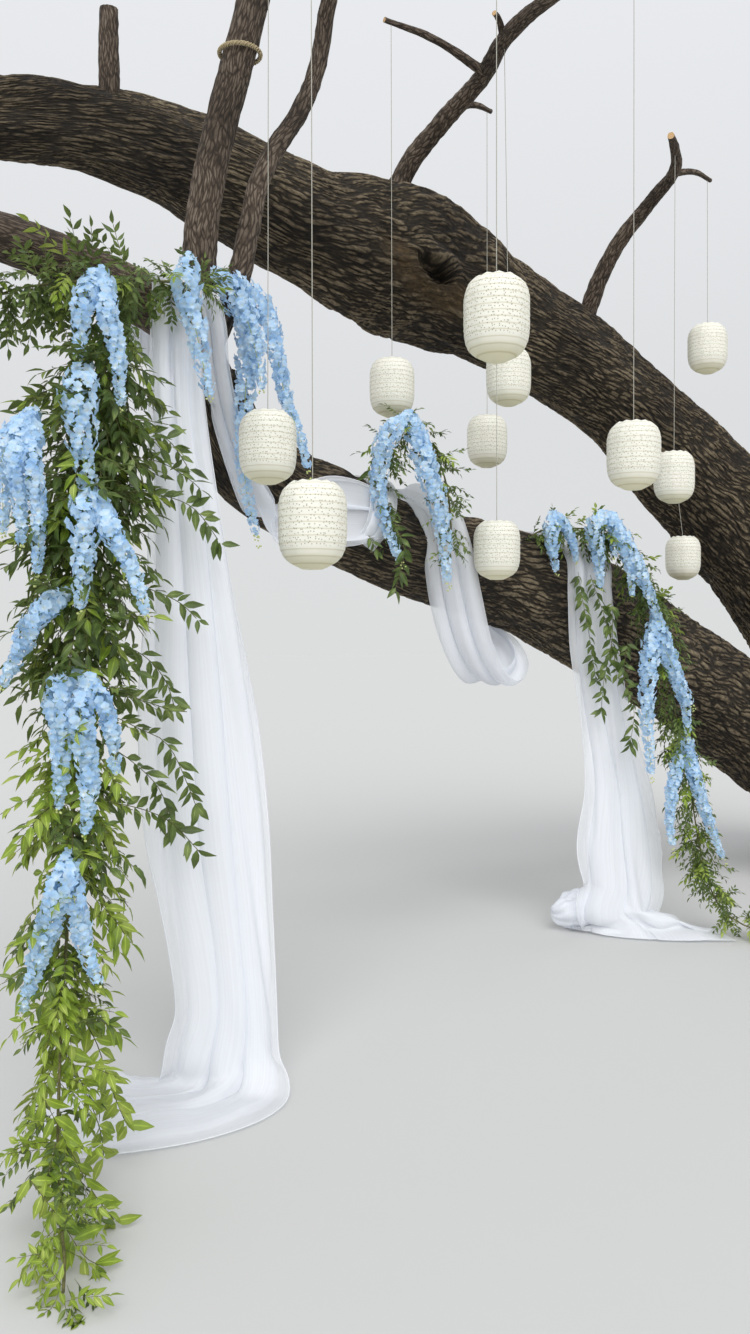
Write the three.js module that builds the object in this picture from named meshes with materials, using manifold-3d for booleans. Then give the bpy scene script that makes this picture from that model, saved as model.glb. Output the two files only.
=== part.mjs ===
// A wedding arbor of two bark-covered timber limbs that spring from one flared foot and arch over an aisle.
// A white sheer drape falls from each side, and garlands, wisteria sprays and lanterns hang on the limbs.
// Millimetres, +Z up. The origin is the middle of the foot's flat underside. +X runs along the arbor line
// away from the aisle, and -Y is the side that guests walk in from.
import * as THREE from "three";
import { mergeVertices } from "three/addons/utils/BufferGeometryUtils.js";
import Module from "manifold-3d";

const wasm = await Module();
wasm.setup();

// Clearance between pieces that touch
const GAP = 0.35;

// Limbs: each row is a point of the centreline and the radius there
const TRUNK_FOOT = [
  [0, 0, 0, 620], [0, 5, 160, 545], [-35, 25, 420, 480], [-130, 90, 760, 450], [-250, 180, 1060, 430],
];
const UPPER_LIMB = [
  [-235, 170, 1020, 425], [-380, 265, 1340, 415], [-620, 400, 1770, 405], [-990, 570, 2220, 385],
  [-1470, 760, 2650, 325], [-2160, 960, 3110, 283], [-2640, 1090, 3320, 283], [-2980, 1190, 3450, 315],
  [-3240, 1260, 3530, 360], [-3550, 1350, 3620, 385], [-3850, 1420, 3660, 345], [-4160, 1490, 3700, 285],
  [-4560, 1560, 3800, 245], [-4960, 1630, 3870, 210], [-5380, 1700, 3860, 175], [-5750, 1790, 3790, 150],
];
const LOWER_LIMB = [
  [-150, 60, 360, 300], [-600, 130, 520, 330], [-1000, 280, 760, 322], [-1280, 440, 1010, 318],
  [-1650, 570, 1270, 315], [-2130, 700, 1490, 315], [-2780, 800, 1750, 303], [-3200, 812, 1860, 268],
  [-3510, 820, 1930, 232], [-4090, 840, 2000, 212], [-4460, 850, 2090, 198], [-4870, 900, 2250, 172],
  [-5120, 850, 2420, 155], [-5250, 790, 2560, 135],
];
const LEFT_BRANCH = [
  [-5170, 825, 2490, 118], [-5290, 760, 2600, 112], [-5430, 660, 2680, 104], [-5580, 560, 2715, 97],
  [-5830, 600, 2790, 90], [-6070, 690, 2870, 80], [-6250, 780, 2910, 74],
];
const LEFT_STEM = [
  [-5235, 790, 2520, 76], [-5300, 745, 2680, 72], [-5350, 690, 2970, 66], [-5350, 650, 3220, 63],
  [-5330, 590, 3460, 62], [-5300, 520, 3700, 61], [-5270, 460, 3930, 60], [-5255, 420, 4120, 58],
];
const RIGHT_STEM = [
  [-5290, 730, 2660, 48], [-5225, 640, 2880, 46], [-5175, 615, 3120, 43], [-5130, 610, 3320, 41],
  [-5050, 600, 3490, 39], [-4950, 575, 3660, 37], [-4880, 540, 3860, 35], [-4890, 470, 4060, 33],
  [-4960, 300, 4230, 31], [-5040, 0, 4300, 28], [-5080, -300, 4280, 24], [-5075, -590, 4220, 19],
];
const FAR_STEM = [
  [-5190, 1640, 3800, 52], [-5200, 1590, 4010, 48], [-5215, 1570, 4200, 45], [-5220, 1560, 4380, 42],
];
const MIDDLE_BRANCH = [
  [-3640, 1360, 3850, 62], [-3600, 1240, 4090, 54], [-3590, 1020, 4240, 49], [-3660, 690, 4330, 44],
  [-3820, 400, 4360, 38], [-3940, 20, 4350, 31], [-4040, -400, 4300, 24], [-4070, -520, 4280, 18],
];
const RIGHT_BRANCH = [
  [-2330, 1010, 3240, 58], [-2370, 900, 3560, 52], [-2420, 700, 3820, 45], [-2480, 430, 4000, 38],
  [-2600, 220, 4070, 31], [-2730, 150, 4110, 25], [-2860, 100, 4120, 18],
];
// Twigs that carry one lantern cord each, named by the branch that they grow from
const TWIGS = {
  right_stem: [
    [[-5010, 120, 4280, 20], [-5130, 290, 4320, 17], [-5260, 420, 4330, 12]],
    [[-5050, -80, 4290, 20], [-5300, -150, 4330, 16], [-5620, -230, 4310, 11]],
  ],
  overhead_branch_middle: [
    [[-3620, 900, 4270, 20], [-3500, 865, 4320, 16], [-3370, 858, 4330, 12]],
    [[-3800, 430, 4350, 20], [-3910, 385, 4400, 14], [-3950, 375, 4400, 11]],
    [[-3700, 640, 4330, 24], [-3950, 730, 4420, 18], [-4230, 800, 4430, 12]],
  ],
  overhead_branch_right: [[[-2580, 240, 4060, 20], [-2430, 200, 4100, 15], [-2270, 188, 4100, 11]]],
};
const FOOT_SIDES = 20;
const LIMB_SIDES = 24;
const STEM_SIDES = 8;
const TWIG_SIDES = 6;
// Broad ribs that wind along both limbs: how many go round, their turn in radians for each metre of x, their
// start and their height
const RIBS = [[5, 3.1, 0, 12], [3, -2.3, 1, 9], [2, 6.1, 2, 8]];
// Hollow where a large knot rotted out of the upper limb: its middle, then its half sizes
const KNOT_HOLLOW = [-3630, 1000, 3490];
const KNOT_REACH = [115, 120, 62];

// Drapes: each row is a point of the fall's middle, then half the width and half the depth of the folds
const FALL_ACROSS = new THREE.Vector3(0.906, -0.423, 0);
const LEFT_FALL = [
  [-5580, 710, 2540, 80, 26], [-5585, 690, 2720, 88, 24], [-5590, 565, 2842, 96, 24],
  [-5605, 428, 2765, 102, 28], [-5620, 395, 2600, 110, 38], [-5630, 385, 2300, 108, 42],
  [-5605, 370, 1820, 158, 42], [-5580, 350, 1340, 200, 42], [-5562, 330, 900, 222, 44],
  [-5540, 312, 540, 208, 46], [-5505, 300, 260, 204, 50], [-5490, 290, 80, 225, 60],
];
const LEFT_POOL = [
  [-5330, 205, 42, 90, 38], [-5470, 262, 52, 235, 48], [-5610, 300, 44, 300, 38], [-5740, 350, 34, 318, 30],
  [-5900, 430, 27, 308, 23], [-6095, 537, 22, 288, 18],
];
const LINK_FALL = [
  [-5470, 655, 2835, 62, 22], [-5465, 520, 2800, 62, 24], [-5430, 500, 2690, 58, 28],
  [-5350, 580, 2550, 56, 30], [-5215, 665, 2340, 60, 36], [-5075, 668, 2070, 72, 44],
  [-4930, 655, 1995, 92, 46], [-4760, 665, 2040, 112, 40], [-4640, 670, 2080, 120, 30],
];
const SWAG_FALL = [
  [-4160, 905, 2238, 66, 20], [-4115, 760, 2245, 82, 22], [-4070, 610, 2150, 92, 28],
  [-4035, 570, 1980, 98, 40], [-3985, 570, 1750, 112, 54], [-3900, 580, 1530, 120, 62],
  [-3750, 600, 1385, 122, 66], [-3590, 630, 1370, 116, 66], [-3430, 700, 1440, 108, 62],
  [-3330, 840, 1545, 98, 52], [-3250, 1030, 1640, 92, 42], [-3170, 1130, 1780, 96, 34],
];
const RIGHT_FALL = [
  [-3080, 1160, 1820, 104, 28], [-3010, 1090, 2020, 118, 26], [-2960, 950, 2100, 128, 26],
  [-2945, 790, 2118, 132, 26], [-2950, 590, 2078, 132, 26], [-2965, 462, 1965, 130, 32],
  [-2985, 440, 1780, 122, 40], [-2975, 440, 1500, 118, 42], [-2940, 428, 1180, 130, 42],
  [-2915, 408, 830, 182, 44], [-2905, 402, 500, 228, 46], [-2900, 400, 270, 228, 56],
  [-2900, 400, 90, 205, 72],
];
const RIGHT_POOL_KNOB = [
  [-2800, 290, 60, 90, 55], [-2880, 400, 88, 175, 82], [-3000, 560, 84, 135, 78], [-3090, 690, 66, 56, 58],
];
const RIGHT_POOL_TAIL = [
  [-2880, 370, 62, 160, 58], [-2730, 180, 42, 145, 38], [-2590, 10, 26, 120, 22], [-2480, -110, 18, 44, 14],
];
const DRAPE_SIDES = 10;
// The wrap on the lower limb turns round the limb's centreline, from behind the top to below the front
const WRAP_CENTRE = [-4490, 852, 2100];
const WRAP_RADIUS = 222;
const WRAP_FROM = 62;
const WRAP_TO = 262;
const WRAP_HALF_DEPTH = 15;
const WRAP_HALF_WIDTH = 165;
const WRAP_TAPER = 8;
const WRAP_STEP = 12;
const WRAP_ACROSS = new THREE.Vector3(1, 0, -0.1);
const SWAG_ACROSS = new THREE.Vector3(0.55, -0.8, 0.2).normalize();

// Garlands: each row is a point of the stem line and the radius of the leaves round it
const GARLANDS = {
  left_garland_top: [
    [-5450, 520, 2830, 60], [-5640, 360, 2760, 92], [-5820, 400, 2740, 120], [-6020, 470, 2700, 140],
    [-6200, 560, 2640, 120], [-6330, 560, 2480, 70],
  ],
  left_garland_upper: [
    [-5900, 390, 2640, 90], [-5940, 390, 2480, 165], [-6000, 360, 2200, 195], [-6060, 300, 1860, 190],
    [-6100, 250, 1600, 178], [-6130, 205, 1380, 150],
  ],
  left_garland_lower: [
    [-6125, 215, 1400, 130], [-6165, 160, 1160, 165], [-6205, 110, 900, 160], [-6260, 50, 600, 140],
    [-6325, -40, 320, 128], [-6395, -170, 135, 112], [-6460, -320, 82, 76], [-6530, -440, 48, 38],
  ],
  centre_garland: [
    [-4410, 620, 1990, 50], [-4400, 625, 2130, 82], [-4385, 650, 2300, 92], [-4330, 670, 2460, 88],
    [-4230, 650, 2535, 84], [-4150, 590, 2450, 80], [-4125, 515, 2270, 78], [-4130, 480, 2080, 72],
    [-4140, 470, 1930, 44],
  ],
  right_garland_upper: [
    [-3390, 620, 2050, 54], [-3300, 590, 2110, 84], [-3160, 530, 2130, 100], [-3010, 420, 2110, 104],
    [-2880, 330, 1990, 108], [-2800, 265, 1800, 112], [-2765, 215, 1600, 112], [-2748, 185, 1420, 92],
  ],
  right_garland_lower: [
    [-2750, 188, 1440, 84], [-2735, 165, 1260, 108], [-2700, 130, 1020, 116], [-2655, 95, 720, 110],
    [-2615, 60, 420, 108], [-2590, -10, 190, 98], [-2540, -110, 90, 78], [-2470, -220, 46, 38],
  ],
};
const GARLAND_SIDES = 9;
const GARLAND_SWELL = 0.13;

// Wisteria: each spray is the point that it is wired on at, then its racemes. A raceme is the line on from
// there to its tip, with its largest radius at the end.
const SPRAYS = {
  wisteria_left_1: [[-5965, 350, 2715], [
    [[-6070, 275, 2595], [-6080, 280, 2495], [-6080, 280, 2390], 55],
    [[-6025, 225, 2555], [-6000, 200, 2420], [-5990, 195, 2240], 48],
  ]],
  wisteria_left_2: [[-6050, 320, 2390], [
    [[-6135, 195, 2245], [-6125, 185, 2095], [-6105, 165, 1930], 84],
  ]],
  wisteria_left_3: [[-6180, 385, 2240], [
    [[-6315, 300, 2100], [-6315, 305, 1985], [-6315, 305, 1840], 55],
    [[-6315, 230, 2080], [-6305, 220, 1950], [-6300, 220, 1800], 42],
    [[-6280, 200, 2065], [-6265, 185, 1905], [-6270, 190, 1695], 40],
  ]],
  wisteria_left_4: [[-6090, 210, 2000], [
    [[-6185, 75, 1890], [-6185, 75, 1775], [-6195, 85, 1615], 62],
    [[-6130, 20, 1860], [-6090, -15, 1765], [-6055, -55, 1600], 45],
  ]],
  wisteria_left_5: [[-6165, 210, 1690], [
    [[-6265, 180, 1625], [-6305, 220, 1525], [-6345, 265, 1400], 48],
  ]],
  wisteria_left_6: [[-6165, 160, 1450], [
    [[-6270, 80, 1395], [-6260, 65, 1270], [-6265, 70, 1060], 45],
    [[-6165, 10, 1380], [-6145, -10, 1285], [-6135, -15, 1160], 42],
    [[-6220, 25, 1315], [-6205, 10, 1145], [-6215, 20, 985], 50],
  ]],
  wisteria_left_7: [[-6225, 80, 950], [
    [[-6320, -40, 885], [-6350, -10, 750], [-6400, 35, 535], 52],
    [[-6295, -70, 855], [-6275, -90, 735], [-6245, -120, 610], 45],
  ]],
  wisteria_top_1: [[-5640, 340, 2840], [
    [[-5700, 270, 2705], [-5675, 245, 2555], [-5645, 210, 2330], 68],
  ]],
  wisteria_top_2: [[-5325, 650, 2945], [
    [[-5285, 575, 2880], [-5240, 530, 2750], [-5215, 505, 2610], [-5200, 495, 2480], 84],
    [[-5215, 575, 2850], [-5220, 585, 2315], [-5215, 580, 2145], [-5175, 540, 1895], 66],
    [[-5170, 530, 2835], [-5110, 470, 2490], [-5070, 430, 2335], [-5040, 400, 2155], 48],
  ]],
  wisteria_centre: [[-4250, 620, 2570], [
    [[-4435, 575, 2440], [-4465, 605, 2270], [-4450, 585, 2070], [-4385, 525, 1855], 66],
    [[-4265, 555, 2475], [-4230, 525, 2375], [-4205, 500, 2220], 50],
    [[-4280, 490, 2300], [-4240, 450, 2120], [-4210, 420, 1760], 80],
  ]],
  wisteria_right_1: [[-3235, 560, 2200], [
    [[-3325, 505, 2095], [-3325, 495, 1990], [-3305, 480, 1870], 56],
    [[-3240, 495, 2150], [-3205, 460, 2050], [-3190, 445, 1930], 36],
  ]],
  wisteria_right_2: [[-2950, 390, 2200], [
    [[-3110, 395, 2135], [-3095, 380, 2010], [-3085, 370, 1795], 66],
    [[-3025, 340, 2145], [-3020, 335, 2075], [-3020, 335, 1960], 44],
    [[-2990, 305, 2040], [-2960, 275, 1910], [-2955, 265, 1755], 42],
    [[-2945, 260, 1960], [-2895, 210, 1805], [-2850, 160, 1610], 64],
  ]],
  wisteria_right_3: [[-2790, 230, 1690], [
    [[-2865, 150, 1550], [-2825, 110, 1420], [-2745, 30, 1180], 72],
    [[-2985, 155, 1400], [-2990, 160, 1120], [-2970, 140, 820], 68],
    [[-2795, 105, 1345], [-2760, 70, 1200], [-2750, 65, 1025], 50],
  ]],
  wisteria_right_4: [[-2700, 120, 1050], [
    [[-2825, 110, 780], [-2835, 120, 615], [-2820, 105, 450], 48],
    [[-2735, 75, 1010], [-2725, 65, 905], [-2720, 60, 775], 46],
    [[-2735, 20, 805], [-2685, -30, 585], [-2630, -85, 395], 50],
  ]],
};
const RACEME_SIDES = 7;
const RACEME_RINGS = 8;
// A raceme's share of its largest radius: at its top, how fast it fills out, and what its tip loses
const RACEME_TOP = 0.4;
const RACEME_FILL = 2.4;
const RACEME_TAPER = 0.8;

// Lanterns: centre of each shade, then the point on the branch that its cord is tied to
const LANTERNS = {
  lantern_1: [[-5250, 400, 2260], [-5245, 402, 4330]],
  lantern_2: [[-5580, -220, 1900], [-5590, -222, 4312]],
  lantern_3: [[-5075, -530, 2570], [-5076, -531, 4236]],
  lantern_4: [[-3760, 440, 2790], [-3800, 434, 4356]],
  lantern_5: [[-3400, 860, 2590], [-3402, 859, 4328]],
  lantern_6: [[-3925, 380, 1960], [-3928, 379, 4400]],
  lantern_7: [[-4042, -400, 2280], [-4041, -401, 4300]],
  lantern_8: [[-2720, 160, 2400], [-2720, 154, 4108]],
  lantern_9: [[-1809, 607, 2054], [-1890, 640, 2760]],
  lantern_10: [[-2300, 190, 3160], [-2302, 190, 4101]],
  lantern_11: [[-4187, 792, 2726], [-4195, 790, 4429]],
};
const SHADE_HEIGHT = 270;
const SHADE_RADIUS = 105;
const SHADE_MOUTH_RADIUS = 60;
const SHADE_FOOT_RADIUS = 36;
const SHADE_WALL = 3;
const SHADE_SIDES = 8;
const HANGER_WIRE = 3;
const HANGER_DEPTH = 10;
const HANGER_REACH = SHADE_MOUTH_RADIUS + 12;
const CORD_RADIUS = 1.5;

// Rope tied round the left stem
const ROPE_HEIGHT = 3735;
const ROPE_RADIUS = 9;
const ROPE_RING_RADIUS = 76;

const COLOURS = {
  bark: 0x5c4c3e,
  stem_bark: 0x7a6a58,
  chiffon: 0xf2f4f8,
  leaf: 0x4d6428,
  wisteria: 0xa9c9ea,
  nylon: 0xf0eedc,
  cord: 0xd9d8d0,
  rope: 0xa89878,
};

const UP = new THREE.Vector3(0, 0, 1);
// The side that a round section's angles are counted from, where nothing else sets it
const FIRST_SIDE = new THREE.Vector3(1, 0.3, 0.1);

// Ring sizes between the rows of a table: position on a smooth curve, sizes interpolated
function stationAt(rows, t) {
  const places = rows.map((row) => new THREE.Vector3(row[0], row[1], row[2]));
  const curve = new THREE.CatmullRomCurve3(places, false, "centripetal");
  const place = t * (rows.length - 1);
  const low = Math.min(Math.floor(place), rows.length - 2);
  const part = place - low;
  const ease = part * part * (3 - 2 * part);
  const sizes = rows[low].slice(3).map((s, k) => s + (rows[low + 1][3 + k] - s) * ease);
  return { at: curve.getPoint(t), along: curve.getTangent(t).normalize(), sizes };
}

// A closed solid lofted along the rows of a table. `across` fixes the wide side of a flat section, `level`
// counts a round section's angles from its level side, `shape` gives the radius factor at an angle, a share
// of the line, an x and a radius, and `grow` swells it all round.
function loft(rows, { sides, rings, across, level, shape = () => 1, grow = 0, flatStart }) {
  const positions = [];
  const push = (v) => positions.push(v.x, v.y, v.z);
  let side = across ? across.clone() : FIRST_SIDE.clone();
  let first = null;
  let last = null;
  for (let i = 0; i <= rings; i += 1) {
    const t = i / rings;
    const { at, along, sizes } = stationAt(rows, t);
    if (flatStart && i === 0) along.set(0, 0, 1);
    if (across) side = across.clone();
    if (level) side = new THREE.Vector3().crossVectors(along, UP);
    side.addScaledVector(along, -side.dot(along)).normalize();
    const up = new THREE.Vector3().crossVectors(along, side);
    if (i === 0) {
      first = flatStart ? at.clone() : at.clone().addScaledVector(along, -grow);
      at.copy(first);
    }
    if (i === rings) {
      last = at.clone().addScaledVector(along, grow);
      at.copy(last);
    }
    const wide = sizes[0];
    const deep = sizes[1] ?? sizes[0];
    for (let k = 0; k < sides; k += 1) {
      const angle = (2 * Math.PI * k) / sides;
      const factor = shape(angle, t, at.x, wide);
      push(
        at
          .clone()
          .addScaledVector(side, Math.cos(angle) * (wide * factor + grow))
          .addScaledVector(up, Math.sin(angle) * (deep * factor + grow)),
      );
    }
  }
  push(first);
  push(last);
  const faces = [];
  const ring = (i, k) => i * sides + (k % sides);
  for (let i = 0; i < rings; i += 1) {
    for (let k = 0; k < sides; k += 1) {
      faces.push(ring(i, k), ring(i, k + 1), ring(i + 1, k));
      faces.push(ring(i, k + 1), ring(i + 1, k + 1), ring(i + 1, k));
    }
  }
  const startPole = (rings + 1) * sides;
  for (let k = 0; k < sides; k += 1) {
    faces.push(startPole, ring(0, k + 1), ring(0, k));
    faces.push(startPole + 1, ring(rings, k), ring(rings, k + 1));
  }
  const geometry = new THREE.BufferGeometry();
  geometry.setAttribute("position", new THREE.Float32BufferAttribute(positions, 3));
  geometry.setIndex(faces);
  return geometry;
}

// A geometry as a solid for joining and cutting
function solid(geometry) {
  const bare = geometry.clone();
  bare.deleteAttribute("normal");
  bare.deleteAttribute("uv");
  const merged = mergeVertices(bare, 1e-3);
  return new wasm.Manifold(
    new wasm.Mesh({
      numProp: 3,
      vertProperties: new Float32Array(merged.attributes.position.array),
      triVerts: new Uint32Array(merged.index.array),
    }),
  );
}

function joined(solids) {
  return solids.reduce((whole, next) => whole.add(next));
}

// What is left of a solid once its neighbours are cut away, without loose offcuts
function cutBy(body, neighbours) {
  const left = neighbours.reduce((rest, next) => rest.subtract(next), body);
  return left.decompose().reduce((best, next) => (next.volume() > best.volume() ? next : best));
}

function geometryOf(body) {
  const mesh = body.getMesh();
  const geometry = new THREE.BufferGeometry();
  geometry.setAttribute("position", new THREE.Float32BufferAttribute(mesh.vertProperties, 3));
  geometry.setIndex(new THREE.Uint32BufferAttribute(mesh.triVerts, 1));
  return geometry;
}

// Furrowed bark makes a section slightly out of round, and the foot spreads in five low buttresses
const outOfRound = (angle, t) =>
  1 + 0.035 * Math.sin(2 * angle + 5 * t) + 0.03 * Math.sin(3 * angle - 9 * t + 1);
const ribbed = (angle, t, x, radius) =>
  1 + RIBS.reduce((sum, [count, turn, start, height]) =>
    sum + height * Math.sin(count * angle + (turn * x) / 1000 + start), 0) / radius;
const buttressed = (angle, t) => 1 + 0.09 * Math.sin(5 * angle + 0.4) * Math.max(0, 1 - 2.2 * t);
const leafy = (angle, t) =>
  1 + GARLAND_SWELL * Math.sin(26 * t + 2 * angle) + 0.5 * GARLAND_SWELL * Math.sin(3 * angle + 11 * t);
const folded = (angle, t) => 1 + 0.07 * Math.cos(6 * angle + 2 * t);

function stem(rows, sides, rings, grow = 0) {
  return solid(loft(rows, { sides, rings, grow, shape: outOfRound }));
}

function limb(rows, rings, grow = 0) {
  return solid(loft(rows, { sides: LIMB_SIDES, rings, grow, shape: ribbed, level: true }));
}

// What the rotted knot left open, smaller by `grow` all round
function knotHollow(grow) {
  const [wide, deep, high] = KNOT_REACH.map((reach) => reach - grow);
  return solid(new THREE.SphereGeometry(1, 10, 8).scale(wide, deep, high).translate(...KNOT_HOLLOW));
}

// A branch with its twigs
function branch(name, rows, grow = 0) {
  const twigs = (TWIGS[name] ?? []).map((twig) => stem(twig, TWIG_SIDES, 3, grow));
  return joined([stem(rows, STEM_SIDES, rows.length + 3, grow), ...twigs]);
}

const TIMBER = {
  trunk_foot: (grow) =>
    solid(loft(TRUNK_FOOT, { sides: FOOT_SIDES, rings: 12, grow, shape: buttressed, flatStart: true })),
  lower_limb: (grow) => limb(LOWER_LIMB, 40, grow),
  upper_limb: (grow) => limb(UPPER_LIMB, 46, grow).subtract(knotHollow(grow)),
  left_branch: (grow) => stem(LEFT_BRANCH, STEM_SIDES, 9, grow),
  left_stem: (grow) => stem(LEFT_STEM, STEM_SIDES, 9, grow),
  right_stem: (grow) => branch("right_stem", RIGHT_STEM, grow),
  far_stem: (grow) => stem(FAR_STEM, STEM_SIDES, 4, grow),
  overhead_branch_middle: (grow) => branch("overhead_branch_middle", MIDDLE_BRANCH, grow),
  overhead_branch_right: (grow) => branch("overhead_branch_right", RIGHT_BRANCH, grow),
};

function fall(rows, rings, grow = 0, across = FALL_ACROSS) {
  return solid(loft(rows, { sides: DRAPE_SIDES, rings, across, shape: folded, grow }));
}

// A pool of cloth that lies on the ground: its flat section stays level
function pool(rows, rings, grow = 0) {
  const start = new THREE.Vector3(...rows[0].slice(0, 3));
  const end = new THREE.Vector3(...rows.at(-1).slice(0, 3));
  const across = end.sub(start).cross(new THREE.Vector3(0, 0, 1)).normalize();
  return solid(loft(rows, { sides: DRAPE_SIDES, rings, across, grow }));
}

function limbWrap(grow) {
  const steps = 8;
  const rows = Array.from({ length: steps + 1 }, (_, i) => {
    const angle = THREE.MathUtils.degToRad(WRAP_FROM + ((WRAP_TO - WRAP_FROM) * i) / steps);
    return [
      WRAP_CENTRE[0] + WRAP_STEP * i,
      WRAP_CENTRE[1] + Math.cos(angle) * WRAP_RADIUS,
      WRAP_CENTRE[2] + Math.sin(angle) * WRAP_RADIUS,
      WRAP_HALF_WIDTH - WRAP_TAPER * i,
      WRAP_HALF_DEPTH,
    ];
  });
  return fall(rows, 9, grow, WRAP_ACROSS);
}

const CLOTH = {
  left_drape: (grow) => joined([fall(LEFT_FALL, 15, grow), pool(LEFT_POOL, 7, grow)]),
  limb_wrap_drape: limbWrap,
  link_drape: (grow) => fall(LINK_FALL, 11, grow),
  right_drape: (grow) =>
    joined([fall(RIGHT_FALL, 16, grow), pool(RIGHT_POOL_KNOB, 4, grow), pool(RIGHT_POOL_TAIL, 4, grow)]),
  swag_drape: (grow) => fall(SWAG_FALL, 14, grow, SWAG_ACROSS),
};

function garland(rows, grow = 0) {
  return solid(loft(rows, { sides: GARLAND_SIDES, rings: rows.length + 4, shape: leafy, grow }));
}

// A raceme fills out just below its stem and tapers to its tip
const plume = (angle, t) => Math.min(1, RACEME_TOP + RACEME_FILL * t) * (1 - RACEME_TAPER * t * t);

function raceme(start, line, grow) {
  const rows = [start, ...line.slice(0, -1)].map((point) => [...point, line.at(-1)]);
  return solid(loft(rows, { sides: RACEME_SIDES, rings: RACEME_RINGS, shape: plume, grow }));
}

function spray([start, racemes], grow = 0) {
  return joined(racemes.map((line) => raceme(start, line, grow)));
}

// Shade outline, outside then inside, as radius and height from the shade's foot
function shadeOutline(grow) {
  const outside = [
    [SHADE_FOOT_RADIUS, 0], [SHADE_RADIUS - 26, 26], [SHADE_RADIUS - 5, 62], [SHADE_RADIUS, 82],
    [SHADE_RADIUS, 204], [SHADE_RADIUS - 9, 238], [SHADE_MOUTH_RADIUS, SHADE_HEIGHT],
  ];
  const outer = outside.map(([r, z]) => new THREE.Vector2(r + grow, z));
  const inner = outside.map(([r, z]) => {
    const mouth = z === SHADE_HEIGHT;
    if (mouth) return new THREE.Vector2(r - SHADE_WALL - 3 * grow, z + grow);
    const lift = z > SHADE_HEIGHT / 2 ? -grow : grow;
    return new THREE.Vector2(r - SHADE_WALL - grow, z + SHADE_WALL + lift);
  });
  outer[0].y -= grow;
  outer.at(-1).y += grow;
  return [new THREE.Vector2(0, -grow), ...outer, ...inner.reverse(), new THREE.Vector2(0, SHADE_WALL + grow)];
}

function shade([x, y, z], grow = 0) {
  const turned = new THREE.LatheGeometry(shadeOutline(grow), SHADE_SIDES).rotateX(Math.PI / 2);
  return solid(turned.translate(x, y, z - SHADE_HEIGHT / 2));
}

// A cord from the branch down to the wire hanger that spans the shade's mouth
function lanternCord([x, y, z], tie) {
  const hanging = new THREE.Vector3(x, y, z + SHADE_HEIGHT / 2 - HANGER_DEPTH);
  const top = new THREE.Vector3(...tie);
  const length = top.distanceTo(hanging);
  const turn = new THREE.Quaternion().setFromUnitVectors(
    new THREE.Vector3(0, 1, 0),
    top.clone().sub(hanging).normalize(),
  );
  const middle = top.clone().add(hanging).multiplyScalar(0.5);
  const cord = new THREE.CylinderGeometry(CORD_RADIUS, CORD_RADIUS, length, 8).applyQuaternion(turn);
  const wire = new THREE.BoxGeometry(2 * HANGER_REACH, HANGER_WIRE, HANGER_WIRE);
  return solid(cord.translate(middle.x, middle.y, middle.z)).add(
    solid(wire.translate(hanging.x, hanging.y, hanging.z)),
  );
}

function ropeTie() {
  const { at } = stationAt(LEFT_STEM, 0.74);
  const ring = new THREE.TorusGeometry(ROPE_RING_RADIUS, ROPE_RADIUS, 6, 14);
  return solid(ring.translate(at.x, at.y, ROPE_HEIGHT));
}

const arbor = new THREE.Group();

function addPart(name, body, colour, roughness) {
  const material = new THREE.MeshStandardMaterial({ color: COLOURS[colour], roughness, metalness: 0 });
  const mesh = new THREE.Mesh(geometryOf(body), material);
  mesh.name = name;
  arbor.add(mesh);
}

// Timber: each piece is cut square against those before it
const timberSwollen = [];
for (const [name, make] of Object.entries(TIMBER)) {
  const bark = name.includes("stem") || name.includes("branch") ? "stem_bark" : "bark";
  addPart(name, cutBy(make(0), timberSwollen), bark, 0.92);
  timberSwollen.push(make(GAP));
}

// Cloth rests on the timber
const clothSwollen = [];
for (const [name, make] of Object.entries(CLOTH)) {
  addPart(name, cutBy(make(0), [...timberSwollen, ...clothSwollen]), "chiffon", 0.8);
  clothSwollen.push(make(GAP));
}

// Wisteria sprays hang in front of timber and cloth
const spraySwollen = [];
for (const [name, rows] of Object.entries(SPRAYS)) {
  addPart(name, cutBy(spray(rows), [...timberSwollen, ...clothSwollen, ...spraySwollen]), "wisteria", 0.75);
  spraySwollen.push(spray(rows, GAP));
}

// Garlands are tied over timber and cloth, and close round the sprays that are wired into them
const garlandSwollen = [];
for (const [name, rows] of Object.entries(GARLANDS)) {
  const neighbours = [...timberSwollen, ...clothSwollen, ...spraySwollen, ...garlandSwollen];
  addPart(name, cutBy(garland(rows), neighbours), "leaf", 0.7);
  garlandSwollen.push(garland(rows, GAP));
}

// Lanterns and their cords
for (const [name, [centre, tie]] of Object.entries(LANTERNS)) {
  addPart(name, shade(centre), "nylon", 0.6);
  const cord = cutBy(lanternCord(centre, tie), [...timberSwollen, shade(centre, GAP)]);
  addPart(name.replace("lantern", "lantern_cord"), cord, "cord", 0.7);
}

addPart("rope_tie", cutBy(ropeTie(), timberSwollen), "rope", 0.9);

export default arbor;
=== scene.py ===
# A wedding arbor: two bark-covered timber limbs spring from one foot and arch over an aisle. White chiffon
# drapes, leafy garlands, blue wisteria sprays and perforated nylon lanterns hang on them.
# Tables and sizes are in millimetres, and MM turns them to Blender's metres.
import math
import random
from functools import partial

import bpy
import numpy as np
from mathutils import Matrix, Vector
from mathutils.kdtree import KDTree


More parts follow.
